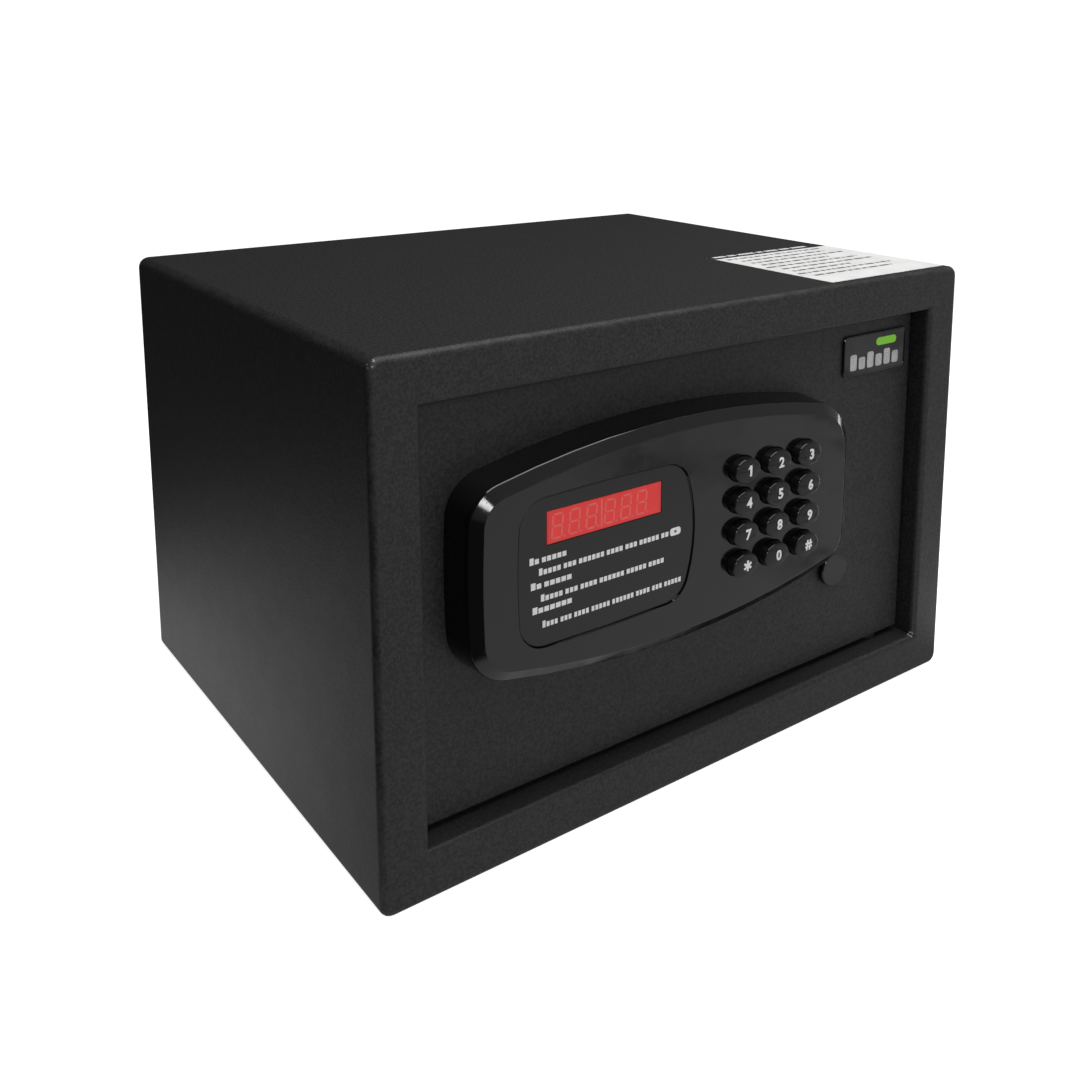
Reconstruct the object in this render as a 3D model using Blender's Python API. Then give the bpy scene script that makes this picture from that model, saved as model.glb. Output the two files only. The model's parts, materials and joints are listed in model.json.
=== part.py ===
"""Hotel in-room safe: a folded steel cabinet, a recessed door with a bowed keypad panel, and the lock.

Frame: origin at the middle of the underside, +X to the right and +Z up, seen by someone facing the door at -Y.
Sizes and places are in millimetres, and each helper turns them into metres.
"""

import math

import bmesh
import bpy
from mathutils import Matrix, Vector

MM = 0.001
GAP = 0.3  # clearance between pieces that touch

# Cabinet
WIDTH, HEIGHT, DEPTH = 350.0, 230.0, 280.0
SHEET = 2.0  # steel of the cabinet and its rear panel
FOLD_R = 5.5  # the four long folds
FRONT_R = 3.0  # rounding round the front face and round the door opening
BORDER = 22.0  # front face left standing round the door opening
JAMB_DEPTH = 40.0  # how far the jamb runs in from the front face
ANCHOR_HOLE_R = 5.0
ANCHOR_SPACING = 200.0
PLUG_HEAD_R = 7.5
FLOOR_ANCHOR_Y = 20.0

# Door
DOOR_RECESS = 10.5
DOOR_THICK = 4.0
GAP_LEFT, GAP_RIGHT, GAP_TOP, GAP_BOTTOM = 2.0, 2.6, 2.0, 3.5
PIVOT_X, PIVOT_Y = 132.5, -121.0
PIN_R = 2.9

# Keypad panel
PANEL_CENTRE = (-27.5, 131.2)
PANEL_SIZE = (220.6, 105.0)
PANEL_BOW_R = 440.0  # top and bottom edges
PANEL_END_R = 500.0
PANEL_CORNERS = (26.0, 17.0, 21.0, 15.0)  # top right, top left, bottom left, bottom right
PANEL_WALL_DEPTH = 16.0
PANEL_DRAFT = 1.2  # how much wider the wall is at its foot
SHOULDER_WIDTH, SHOULDER_DEPTH = 5.4, 4.0
SHOULDER_SLOPE = 33.0  # degrees, of the plain band between the wall's rounding and the face
SHOULDER_ROUNDING, SHOULDER_CREASE = 1.2, 0.6  # radii at the outer and the inner edge of the band
PANEL_WALL = 3.0
KEY_SIZE = (15.9, 11.7)  # the caps are slightly wide ovals
KEY_PITCH = (20.4, 15.3)
KEYPAD_CENTRE = (26.7, 130.5)
KEY_WELL_GAP = 0.6  # round each cap
KEY_PROUD = 5.3
KEY_ROUNDING = 0.9
KEY_FLANGE = 1.4
KEY_TRAVEL = 1.5
KEY_LABELS = ("1", "2", "3", "4", "5", "6", "7", "8", "9", "star", "0", "hash")
WINDOW_LOW, WINDOW_HIGH = (-116.5, 98.8), (-22.0, 164.8)
WINDOW_SIDES = (75.0, 900.0, 300.0, 900.0)  # radii of the right, top, left and bottom sides
WINDOW_CORNER_R = 13.0
WINDOW_POCKET = 2.0
WINDOW_THICK = 1.0
WINDOW_CHAMFER = (0.6, 0.3)  # across the front and deep
LED_LOW, LED_HIGH = (-102.2, 143.0), (-41.1, 157.7)
BOARD_BEHIND_FACE, BOARD_THICK = 9.8, 1.6
BOARD_HALF = (96.0, 34.0)

# Lock
BOLT_R = 7.0
BOLT_Y = -113.0
BOLT_HEIGHTS = (72.0, 160.0)
BOLT_TIP_X, BOLT_TAIL_X = -147.5, -100.0
BOLT_TRAVEL = 14.0
TOOTH_MODULE = 1.0
PINION_TEETH = 12
PINION_X = -60.0
RACK_Z = 112.0  # the rack's pitch line
MESH_SLACK = 0.25
OVERRIDE_X, OVERRIDE_Z = 93.0, 75.0
COVER_R = 9.3
COVER_PIVOT_Z = 87.5

# Inner cover on the back of the door
PAN_LOW, PAN_HIGH = (-138.0, 32.0), (114.0, 200.0)
PAN_BACK_Y = -88.0
PAN_SHEET = 1.2
BATTERY_R, BATTERY_LENGTH = 7.1, 50.0
BATTERY_CENTRE = (52.0, 133.0)
BATTERY_PITCH = 15.0
BATTERY_COUNT = 4
LID_THICK, LID_OVERLAP = 2.0, 4.0
RAIL_LENGTH = 145.0
BUTTON_X, BUTTON_Z = 101.0, 133.0
LOOM_X, LOOM_Z, LOOM_R = -5.0, 148.0, 2.2

FRONT_Y = -DEPTH / 2
BACK_Y = DEPTH / 2
OPEN_X = WIDTH / 2 - BORDER
OPEN_LOW_Z, OPEN_HIGH_Z = BORDER, HEIGHT - BORDER
JAMB_BACK_Y = FRONT_Y + JAMB_DEPTH
DOOR_FRONT_Y = FRONT_Y + DOOR_RECESS
DOOR_BACK_Y = DOOR_FRONT_Y + DOOR_THICK
DOOR_LOW = (-OPEN_X + GAP_LEFT, OPEN_LOW_Z + GAP_BOTTOM)
DOOR_HIGH = (OPEN_X - GAP_RIGHT, OPEN_HIGH_Z - GAP_TOP)
BEHIND_DOOR_Y = DOOR_BACK_Y + GAP
PANEL_BACK_Y = DOOR_FRONT_Y - GAP
SHOULDER_Y = PANEL_BACK_Y - PANEL_WALL_DEPTH
FACE_Y = SHOULDER_Y - SHOULDER_DEPTH
BOARD_FRONT_Y = FACE_Y + BOARD_BEHIND_FACE
PAN_INSIDE_Y = PAN_BACK_Y - PAN_SHEET
PLATE_FRONT_Y, PLATE_BACK_Y = -102.5, -100.0  # the plate that carries the bolts
PINION_R = TOOTH_MODULE * PINION_TEETH / 2
PINION_Z = RACK_Z + PINION_R + MESH_SLACK
ADDENDUM, DEDENDUM = TOOTH_MODULE, 1.25 * TOOTH_MODULE


# ---------------------------------------------------------------- scene, materials and helpers


def clear_scene():
    for obj in list(bpy.data.objects):
        bpy.data.objects.remove(obj, do_unlink=True)


def new_collection(name):
    collection = bpy.data.collections.new(name)
    bpy.context.scene.collection.children.link(collection)
    return collection


def new_material(name, colour, roughness, metallic=0.0):
    material = bpy.data.materials.new(name)
    material.use_nodes = True
    shader = material.node_tree.nodes["Principled BSDF"]
    shader.inputs["Base Color"].default_value = (*colour, 1.0)
    shader.inputs["Roughness"].default_value = roughness
    shader.inputs["Metallic"].default_value = metallic
    material.diffuse_color = (*colour, 1.0)
    return material


def add_object(name, bm, material=None):
    """Makes an object from bmesh geometry in millimetres. Without a material it is a cutter or a helper."""
    bmesh.ops.recalc_face_normals(bm, faces=bm.faces)
    bmesh.ops.scale(bm, vec=(MM, MM, MM), verts=bm.verts)
    mesh = bpy.data.meshes.new(name)
    bm.to_mesh(mesh)
    bm.free()
    obj = bpy.data.objects.new(name, mesh)
    if material is None:
        HELPERS.objects.link(obj)
        obj.hide_render = True
        obj.display_type = "WIRE"
    else:
        PARTS.objects.link(obj)
        mesh.materials.append(material)
        mesh.shade_smooth()
        mesh.set_sharp_from_angle(angle=math.radians(35))
    return obj


def box_mesh(low, high):
    bm = bmesh.new()
    size = [b - a for a, b in zip(low, high)]
    middle = [(a + b) / 2 for a, b in zip(low, high)]
    bmesh.ops.create_cube(bm, size=1.0, matrix=Matrix.Translation(middle) @ Matrix.Diagonal((*size, 1.0)))
    return bm


def box(name, low, high, material=None):
    return add_object(name, box_mesh(low, high), material)


def bevelled_box(name, low, high, radius, axis, material=None, segments=3):
    """A box whose four edges along one axis are rounded. An axis of None rounds every edge."""
    bm = box_mesh(low, high)
    edges = bm.edges[:]
    if axis is not None:
        edges = [e for e in edges if abs((e.verts[1].co - e.verts[0].co)[axis]) > 1e-6]
    bmesh.ops.bevel(bm, geom=edges, offset=radius, segments=segments, profile=0.5, affect="EDGES")
    return add_object(name, bm, material)


def cylinder(name, radius, start, end, material=None, segments=24, end_radius=None):
    """A cylinder, or a cone with end_radius, between the middles of its two ends."""
    start, end = Vector(start), Vector(end)
    along = end - start
    turn = Vector((0, 0, 1)).rotation_difference(along).to_matrix().to_4x4()
    bm = bmesh.new()
    bmesh.ops.create_cone(
        bm,
        cap_ends=True,
        segments=segments,
        radius1=radius,
        radius2=radius if end_radius is None else end_radius,
        depth=along.length,
        matrix=Matrix.Translation((start + end) / 2) @ turn,
    )
    return add_object(name, bm, material)


def loft(name, rings, material=None):
    """A closed solid through rings of equally many points, with a flat cap at each end."""
    bm = bmesh.new()
    rows = [[bm.verts.new(point) for point in ring] for ring in rings]
    count = len(rows[0])
    for row, following in zip(rows, rows[1:]):
        for i in range(count):
            j = (i + 1) % count
            bm.faces.new((row[i], row[j], following[j], following[i]))
    bm.faces.new(rows[0])
    bm.faces.new(list(reversed(rows[-1])))
    return add_object(name, bm, material)


def boolean(target, other, operation):
    modifier = target.modifiers.new(other.name, "BOOLEAN")
    modifier.object = other
    modifier.operation = operation
    modifier.solver = "EXACT"


def cut(target, *cutters):
    for cutter in cutters:
        boolean(target, cutter, "DIFFERENCE")


def join(target, *others):
    for other in others:
        boolean(target, other, "UNION")


def pivot(name, place):
    """An empty on a joint's axis."""
    empty = bpy.data.objects.new(name, None)
    empty.location = Vector(place) * MM
    empty.empty_display_size = 10 * MM
    PARTS.objects.link(empty)
    return empty


def on_pivot(name, place, pieces):
    """Hangs pieces on a new empty, and returns it."""
    empty = pivot(name, place)
    hang(pieces, empty)
    return empty


def hang(pieces, empty):
    """Parents pieces to an empty and leaves them where they are."""
    bpy.context.view_layer.update()
    for piece in pieces:
        piece.parent = empty
        piece.matrix_parent_inverse = empty.matrix_world.inverted()


# ---------------------------------------------------------------- outlines in the X-Z plane


def meeting_point(centre_a, reach_a, centre_b, reach_b, near):
    """The point at the given distances from two centres that lies nearest to a third point."""
    a, b = Vector(centre_a), Vector(centre_b)
    apart = (b - a).length
    along = (reach_a**2 - reach_b**2 + apart**2) / (2 * apart)
    aside = math.sqrt(max(0.0, reach_a**2 - along**2))
    step = (b - a) / apart
    base = a + step * along
    sides = [base + Vector((-step.y, step.x)) * aside * sign for sign in (1, -1)]
    return min(sides, key=lambda point: (point - Vector(near)).length)


def arc_points(centre, radius, start, end, count):
    """Points from direction start to direction end, the short way round, leaving out the last one."""
    first = math.atan2(start.y, start.x)
    turn = (math.atan2(end.y, end.x) - first + math.pi) % (2 * math.pi) - math.pi
    angles = [first + turn * i / count for i in range(count)]
    return [(centre[0] + radius * math.cos(t), centre[1] + radius * math.sin(t)) for t in angles]


def bowed_outline(low, high, side_radii, corner_radii, inset=0.0, side_steps=10, corner_steps=9):
    """A rectangle whose sides are arcs that bulge outward and whose corners are round.

    side_radii and corner_radii go right, top, left, bottom and top right, top left, bottom left, bottom right.
    """
    middle = ((low[0] + high[0]) / 2, (low[1] + high[1]) / 2)
    right, top, left, bottom = side_radii
    centres = (
        (high[0] - right, middle[1]),
        (middle[0], high[1] - top),
        (low[0] + left, middle[1]),
        (middle[0], low[1] + bottom),
    )
    corners = ((high[0], high[1]), (low[0], high[1]), (low[0], low[1]), (high[0], low[1]))
    hubs = []
    for i, (near, radius) in enumerate(zip(corners, corner_radii)):
        j = (i + 1) % 4
        hubs.append(meeting_point(centres[i], side_radii[i] - radius, centres[j], side_radii[j] - radius, near))
    points = []
    for i in range(4):
        centre, following = Vector(centres[i]), Vector(centres[(i + 1) % 4])
        before, hub = hubs[i - 1], hubs[i]
        points += arc_points(centre, side_radii[i] - inset, before - centre, hub - centre, side_steps)
        points += arc_points(hub, corner_radii[i] - inset, hub - centre, hub - following, corner_steps)
    return points


def panel_outline(inset=0.0):
    half_x, half_z = PANEL_SIZE[0] / 2, PANEL_SIZE[1] / 2
    low = (PANEL_CENTRE[0] - half_x, PANEL_CENTRE[1] - half_z)
    high = (PANEL_CENTRE[0] + half_x, PANEL_CENTRE[1] + half_z)
    sides = (PANEL_END_R, PANEL_BOW_R, PANEL_END_R, PANEL_BOW_R)
    return bowed_outline(low, high, sides, PANEL_CORNERS, inset)


def window_outline(inset=0.0):
    """The window's right side bulges and its left side is nearly straight."""
    return bowed_outline(WINDOW_LOW, WINDOW_HIGH, WINDOW_SIDES, (WINDOW_CORNER_R,) * 4, inset, side_steps=6)


def oval(centre, size, inset=0.0, count=26):
    half_x, half_z = size[0] / 2 - inset, size[1] / 2 - inset
    angles = [2 * math.pi * i / count for i in range(count)]
    return [(centre[0] + half_x * math.cos(t), centre[1] + half_z * math.sin(t)) for t in angles]


def standing(outline, y):
    """A ring of the outline's points at one depth."""
    return [(x, y, z) for x, z in outline]


# ---------------------------------------------------------------- cabinet


def make_body_shell():
    """The folded wrap, the front face and the jamb, welded and ground into one piece."""
    bm = box_mesh((-WIDTH / 2, FRONT_Y, 0), (WIDTH / 2, BACK_Y, HEIGHT))
    folds = [e for e in bm.edges if abs((e.verts[1].co - e.verts[0].co).y) > 1]
    bmesh.ops.bevel(bm, geom=folds, offset=FOLD_R, segments=5, profile=0.5, affect="EDGES")
    rim = [e for e in bm.edges if all(abs(v.co.y - FRONT_Y) < 1e-6 for v in e.verts)]
    bmesh.ops.bevel(bm, geom=rim, offset=FRONT_R, segments=4, profile=0.5, affect="EDGES")
    shell = add_object("body_shell", bm, POWDER_COAT)

    inside = WIDTH / 2 - SHEET
    hollow = bevelled_box(
        "cut_cabinet_hollow",
        (-inside, FRONT_Y + SHEET, SHEET),
        (inside, BACK_Y + 5, HEIGHT - SHEET),
        FOLD_R - SHEET,
        axis=1,
    )
    cut(shell, hollow)
    jamb = box(
        "join_jamb",
        (-OPEN_X - SHEET, FRONT_Y + SHEET / 2, OPEN_LOW_Z - SHEET),
        (OPEN_X + SHEET, JAMB_BACK_Y, OPEN_HIGH_Z + SHEET),
    )
    join(shell, jamb)
    cut(shell, loft("cut_door_opening", opening_rings()))
    for z in BOLT_HEIGHTS:
        start = (-OPEN_X - 2 * SHEET, BOLT_Y, z)
        cut(shell, cylinder(f"cut_jamb_bolt_hole_{z:.0f}", BOLT_R + 0.6, start, (-OPEN_X + 4, BOLT_Y, z)))
    for x in (-ANCHOR_SPACING / 2, ANCHOR_SPACING / 2):
        low, high = (x, FLOOR_ANCHOR_Y, -1), (x, FLOOR_ANCHOR_Y, SHEET + 1)
        cut(shell, cylinder(f"cut_floor_anchor_{x:.0f}", ANCHOR_HOLE_R, low, high))
    for name, z in (("lower", OPEN_LOW_Z - SHEET), ("upper", OPEN_HIGH_Z + SHEET)):
        low, high = (PIVOT_X, PIVOT_Y, z - 3), (PIVOT_X, PIVOT_Y, z + 3)
        cut(shell, cylinder(f"cut_pin_hole_{name}", PIN_R + GAP, low, high))
    return shell


def opening_rings():
    """The opening's corners are square, and its mouth flares by a quarter round of FRONT_R."""
    steps = 4
    rings = [opening_ring(FRONT_R, FRONT_Y - 1)]
    for i in range(steps + 1):
        t = math.pi / 2 * i / steps
        rings.append(opening_ring(FRONT_R * (1 - math.sin(t)), FRONT_Y + FRONT_R * (1 - math.cos(t))))
    rings.append(opening_ring(0.0, JAMB_BACK_Y + 5))
    return rings


def opening_ring(extra, y):
    x, low, high = OPEN_X + extra, OPEN_LOW_Z - extra, OPEN_HIGH_Z + extra
    return [(-x, y, low), (x, y, low), (x, y, high), (-x, y, high)]


def make_rear_panel():
    edge = SHEET + GAP
    panel = bevelled_box(
        "rear_panel",
        (-WIDTH / 2 + edge, BACK_Y - SHEET, edge),
        (WIDTH / 2 - edge, BACK_Y, HEIGHT - edge),
        FOLD_R - edge,
        axis=1,
        material=POWDER_COAT,
    )
    for x in (-ANCHOR_SPACING / 2, ANCHOR_SPACING / 2):
        start, end = (x, BACK_Y - 5, HEIGHT / 2), (x, BACK_Y + 5, HEIGHT / 2)
        cut(panel, cylinder(f"cut_rear_anchor_{x:.0f}", ANCHOR_HOLE_R, start, end))
    for name, x in (("left", -ANCHOR_SPACING / 2), ("right", ANCHOR_SPACING / 2)):
        make_anchor_plug(f"anchor_plug_{name}", x)
    return panel


def make_anchor_plug(name, x):
    """A rubber plug in an unused hole of the rear panel, with its head inside the cabinet."""
    inside = BACK_Y - SHEET - GAP
    z = HEIGHT / 2
    profile = [
        (PLUG_HEAD_R - 1.0, inside - 1.4),
        (PLUG_HEAD_R, inside - 0.7),
        (PLUG_HEAD_R, inside),
        (ANCHOR_HOLE_R - GAP, inside),
        (ANCHOR_HOLE_R - GAP, BACK_Y - 0.5),
        (ANCHOR_HOLE_R - 0.8, BACK_Y - 0.1),
    ]
    return loft(name, [disc_ring(x, z, r, y, 28) for r, y in profile], RUBBER)


def make_cabinet_fittings():
    keeper_x = -OPEN_X - SHEET - GAP
    keeper = box("bolt_keeper", (keeper_x - 3, -134, 50), (keeper_x, JAMB_BACK_Y, 182), ZINC)
    for z in BOLT_HEIGHTS:
        start, end = (keeper_x - 5, BOLT_Y, z), (keeper_x + 2, BOLT_Y, z)
        cut(keeper, cylinder(f"cut_keeper_hole_{z:.0f}", BOLT_R + 0.6, start, end))
    box(
        "door_stop",
        (-OPEN_X + GAP, BEHIND_DOOR_Y + 0.2, 100),
        (-OPEN_X + 9, BEHIND_DOOR_Y + 5.2, 132),
        POWDER_COAT,
    )
    bevelled_box("floor_mat", (-168, -96, SHEET + GAP), (168, 134, SHEET + GAP + 3), 4.0, axis=2, material=FELT)
    box("instruction_label", (80, -135, HEIGHT + 0.1), (169, -40, HEIGHT + 0.3), LABEL)


def make_hinge():
    """Two fixed pins, one in each end of the jamb, and a nylon washer that carries the door."""
    for name, jamb_z, inward in (("lower", OPEN_LOW_Z, 1), ("upper", OPEN_HIGH_Z, -1)):
        outer = jamb_z - inward * (SHEET + GAP)
        head = outer - inward * 3.2
        start, end = (PIVOT_X, PIVOT_Y, head), (PIVOT_X, PIVOT_Y, jamb_z + inward * 19)
        pin = cylinder(f"hinge_pin_{name}", PIN_R, start, end, POWDER_COAT)
        join(pin, cylinder(f"join_pin_head_{name}", 5.0, (PIVOT_X, PIVOT_Y, head), (PIVOT_X, PIVOT_Y, outer)))
    low, high = OPEN_LOW_Z + GAP, DOOR_LOW[1] - GAP
    washer = cylinder("hinge_washer", 6.5, (PIVOT_X, PIVOT_Y, low), (PIVOT_X, PIVOT_Y, high), NYLON)
    bore = cylinder("cut_washer_bore", PIN_R + GAP, (PIVOT_X, PIVOT_Y, low - 1), (PIVOT_X, PIVOT_Y, high + 1))
    cut(washer, bore)


# ---------------------------------------------------------------- door


def stud_places():
    """The four corners where the inner cover is screwed to the door."""
    return [(x, z) for x in (PAN_LOW[0] + 12, PAN_HIGH[0] - 12) for z in (PAN_LOW[1] + 10, PAN_HIGH[1] - 10)]


def make_door_plate():
    """The steel plate, with four welded studs that take the inner cover's screws."""
    plate = bevelled_box(
        "door_plate",
        (DOOR_LOW[0], DOOR_FRONT_Y, DOOR_LOW[1]),
        (DOOR_HIGH[0], DOOR_BACK_Y, DOOR_HIGH[1]),
        0.6,
        axis=None,
        material=POWDER_COAT,
        segments=2,
    )
    stud_end = PAN_INSIDE_Y - GAP
    for i, (x, z) in enumerate(stud_places()):
        join(plate, cylinder(f"join_stud_{i}", 4.0, (x, DOOR_BACK_Y - 1, z), (x, stud_end, z), segments=16))
        start, end = (x, stud_end - 10, z), (x, stud_end + 1, z)
        cut(plate, cylinder(f"cut_stud_bore_{i}", 2.1, start, end, segments=12))
    start, end = DOOR_FRONT_Y - 2, DOOR_BACK_Y + 2
    cut(
        plate,
        cylinder("cut_loom_hole", 6.0, (LOOM_X, start, LOOM_Z), (LOOM_X, end, LOOM_Z)),
        cylinder("cut_override_hole", 7.9, (OVERRIDE_X, start, OVERRIDE_Z), (OVERRIDE_X, end, OVERRIDE_Z)),
    )
    return plate


def make_hinge_block(name, low_z, high_z):
    block = bevelled_box(
        name, (PIVOT_X - 7.5, BEHIND_DOOR_Y, low_z), (PIVOT_X + 7.5, PIVOT_Y + 4.6, high_z), 0.8, 2, STEEL
    )
    start, end = (PIVOT_X, PIVOT_Y, low_z - 1), (PIVOT_X, PIVOT_Y, high_z + 1)
    cut(block, cylinder(f"cut_{name}", PIN_R + 0.1, start, end))
    return block


def make_nameplate():
    """A blank plate with its corners rounded, in the door's upper right corner."""
    low, high = (96.0, DOOR_FRONT_Y - GAP - 1.2, 177.0), (145.0, DOOR_FRONT_Y - GAP, 199.0)
    return bevelled_box("nameplate", low, high, 3.0, axis=1, material=GLOSS_BLACK, segments=5)


# ---------------------------------------------------------------- keypad panel


def shoulder_profile():
    """How far in and how far forward the shoulder is: a rounding, a plain slope and a small crease."""
    slope = math.radians(SHOULDER_SLOPE)
    rounding, crease = SHOULDER_ROUNDING, SHOULDER_CREASE
    points = []
    for i in range(8):
        t = (math.pi / 2 - slope) * i / 7
        points.append((rounding * (1 - math.cos(t)), rounding * math.sin(t)))
    for i in range(4):
        t = slope * (1 - i / 3)
        inset = SHOULDER_WIDTH - crease * math.sin(t)
        points.append((inset, SHOULDER_DEPTH - crease * (1 - math.cos(t))))
    return points


def make_panel_housing():
    """A glossy moulding: a deep plain wall, a sloping shoulder and a flat face."""
    outer = [standing(panel_outline(-PANEL_DRAFT), PANEL_BACK_Y)]
    outer += [standing(panel_outline(inset), SHOULDER_Y - depth) for inset, depth in shoulder_profile()]
    housing = loft("panel_housing", outer, GLOSS_BLACK)
    inner = [
        standing(panel_outline(PANEL_WALL), PANEL_BACK_Y + 2),
        standing(panel_outline(PANEL_WALL), SHOULDER_Y + 1),
        standing(panel_outline(SHOULDER_WIDTH), FACE_Y + PANEL_WALL),
    ]
    cut(housing, loft("cut_panel_inside", inner))
    pocket = [standing(window_outline(-0.25), y) for y in (FACE_Y - 2, FACE_Y + WINDOW_POCKET)]
    cut(housing, loft("cut_window_pocket", pocket))
    low, high = (LED_LOW[0], FACE_Y - 1, LED_LOW[1]), (LED_HIGH[0], FACE_Y + 4, LED_HIGH[1])
    cut(housing, box("cut_led_way", low, high))
    for label, centre in key_places():
        ends = (FACE_Y - 2, FACE_Y + PANEL_WALL + 2)
        well = [standing(oval(centre, KEY_SIZE, -KEY_WELL_GAP), y) for y in ends]
        cut(housing, loft(f"cut_key_well_{label}", well))
    return housing


def make_display():
    """The smoked window plate sits in a pocket of the face, with the red filter let into it."""
    front = FACE_Y + WINDOW_POCKET - GAP - WINDOW_THICK
    back = FACE_Y + WINDOW_POCKET - GAP
    across, deep = WINDOW_CHAMFER
    rings = [standing(window_outline(), back), standing(window_outline(), front + deep)]
    rings.append(standing(window_outline(across), front))
    window = loft("display_window", rings, SMOKED)
    slot = box("cut_filter_slot", (LED_LOW[0], front - 1, LED_LOW[1]), (LED_HIGH[0], back + 1, LED_HIGH[1]))
    cut(window, slot)
    led_filter = box(
        "led_filter",
        (LED_LOW[0] + GAP, front, LED_LOW[1] + GAP),
        (LED_HIGH[0] - GAP, back, LED_HIGH[1] - GAP),
        RED_FILTER,
    )
    module = box(
        "led_module",
        (LED_LOW[0] + 0.6, FACE_Y + PANEL_WALL + 0.4, LED_LOW[1] - 1.5),
        (LED_HIGH[0] - 0.6, BOARD_FRONT_Y - GAP, LED_HIGH[1] + 1.5),
        MATTE_BLACK,
    )
    low = (PANEL_CENTRE[0] - BOARD_HALF[0], BOARD_FRONT_Y, PANEL_CENTRE[1] - BOARD_HALF[1])
    high = (PANEL_CENTRE[0] + BOARD_HALF[0], BOARD_FRONT_Y + BOARD_THICK, PANEL_CENTRE[1] + BOARD_HALF[1])
    board = box("circuit_board", low, high, BOARD)
    return [window, led_filter, module, board]


def key_places():
    places = []
    for i, label in enumerate(KEY_LABELS):
        row, column = divmod(i, 3)
        x = KEYPAD_CENTRE[0] + (column - 1) * KEY_PITCH[0]
        z = KEYPAD_CENTRE[1] + (1.5 - row) * KEY_PITCH[1]
        places.append((label, (x, z)))
    return places


def make_key(label, centre):
    """One oval cap, whose flange behind the face holds it in."""
    flange_y = FACE_Y + PANEL_WALL + GAP
    rings = [
        standing(oval((0, 0), KEY_SIZE, -KEY_FLANGE), flange_y + 1.0),
        standing(oval((0, 0), KEY_SIZE, -KEY_FLANGE), flange_y),
        standing(oval((0, 0), KEY_SIZE), flange_y),
        standing(oval((0, 0), KEY_SIZE), FACE_Y - KEY_PROUD + KEY_ROUNDING),
        standing(oval((0, 0), KEY_SIZE, KEY_ROUNDING * 0.3), FACE_Y - KEY_PROUD + KEY_ROUNDING * 0.3),
        standing(oval((0, 0), KEY_SIZE, KEY_ROUNDING), FACE_Y - KEY_PROUD),
    ]
    key = loft(f"key_{label}", rings, KEY_BLACK)
    key.location = Vector((centre[0], 0, centre[1])) * MM
    return key


def make_keypad_mat():
    """A silicone sheet with one soft dome under each key."""
    back = BOARD_FRONT_Y - GAP
    half_x, half_z = KEY_PITCH[0] * 1.5 + 2, KEY_PITCH[1] * 2 + 1
    low = (KEYPAD_CENTRE[0] - half_x, back - 1.0, KEYPAD_CENTRE[1] - half_z)
    high = (KEYPAD_CENTRE[0] + half_x, back, KEYPAD_CENTRE[1] + half_z)
    mat = box("keypad_mat", low, high, SILICONE)
    top = FACE_Y + PANEL_WALL + GAP + 1.0 + KEY_TRAVEL + GAP
    for label, (x, z) in key_places():
        start, end = (x, back - 0.5, z), (x, top, z)
        join(mat, cylinder(f"join_dome_{label}", 5.0, start, end, segments=12, end_radius=3.2))
    return mat


# ---------------------------------------------------------------- key override


def make_override():
    x, z = OVERRIDE_X, OVERRIDE_Z
    face = DOOR_FRONT_Y - GAP
    body = cylinder("lock_cylinder", 7.5, (x, face - 0.5, z), (x, -105.0, z), BRASS, segments=28)
    join(body, cylinder("join_cylinder_head", 8.6, (x, face - 0.8, z), (x, face, z), segments=28))
    cut(body, cylinder("cut_plug_bore", 4.3, (x, face - 3, z), (x, -100, z), segments=24))
    nut = cylinder("cylinder_nut", 11.5, (x, BEHIND_DOOR_Y, z), (x, BEHIND_DOOR_Y + 3.5, z), ZINC, segments=6)
    cut(nut, cylinder("cut_nut_bore", 7.8, (x, BEHIND_DOOR_Y - 1, z), (x, BEHIND_DOOR_Y + 5, z), segments=28))

    plug = cylinder("lock_plug", 4.0, (x, face - 0.6, z), (x, -104.2, z), STEEL, segments=24)
    join(plug, cylinder("join_plug_tail", 2.6, (x, -105, z), (x, -100.5, z), segments=16))
    cut(plug, box("cut_keyway", (x - 0.8, face - 2, z - 3), (x + 0.8, face + 14, z + 3)))
    cam = bevelled_box("lock_cam", (x - 4.5, -103.6, z - 18), (x + 4.5, -101.6, z + 4.5), 3.0, 1, ZINC)
    cut(cam, cylinder("cut_cam_hole", 2.8, (x, -106, z), (x, -99, z), segments=16))
    plug_axis = on_pivot("override_plug_axis", (x, 0, z), [plug, cam])

    front, back = face - 3.4, face - 1.2
    hub_z = COVER_PIVOT_Z
    disc = [(COVER_R, back), (COVER_R, front + 0.8), (COVER_R - 0.25, front + 0.25), (COVER_R - 0.8, front)]
    cover = loft("override_cover", [disc_ring(x, z, r, y, 28) for r, y in disc], GLOSS_BLACK)
    join(
        cover,
        box("join_cover_neck", (x - 4.2, front + 0.3, z), (x + 4.2, back, hub_z)),
        cylinder("join_cover_eye", 4.2, (x, front + 0.3, hub_z), (x, back, hub_z), segments=20),
    )
    cut(cover, cylinder("cut_cover_eye", 1.9, (x, front - 1, hub_z), (x, back + 1, hub_z), segments=16))
    cover_axis = on_pivot("override_cover_axis", (x, 0, hub_z), [cover])
    rivet = cylinder("cover_rivet", 1.6, (x, front - 0.2, hub_z), (x, face, hub_z), POWDER_COAT, segments=16)
    join(rivet, cylinder("join_rivet_head", 3.0, (x, front - 1.0, hub_z), (x, front - 0.1, hub_z), segments=16))
    return [body, nut, rivet, plug_axis, cover_axis]


def disc_ring(x, z, radius, y, count):
    return standing(oval((x, z), (2 * radius, 2 * radius), count=count), y)


# ---------------------------------------------------------------- bolt work


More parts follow.
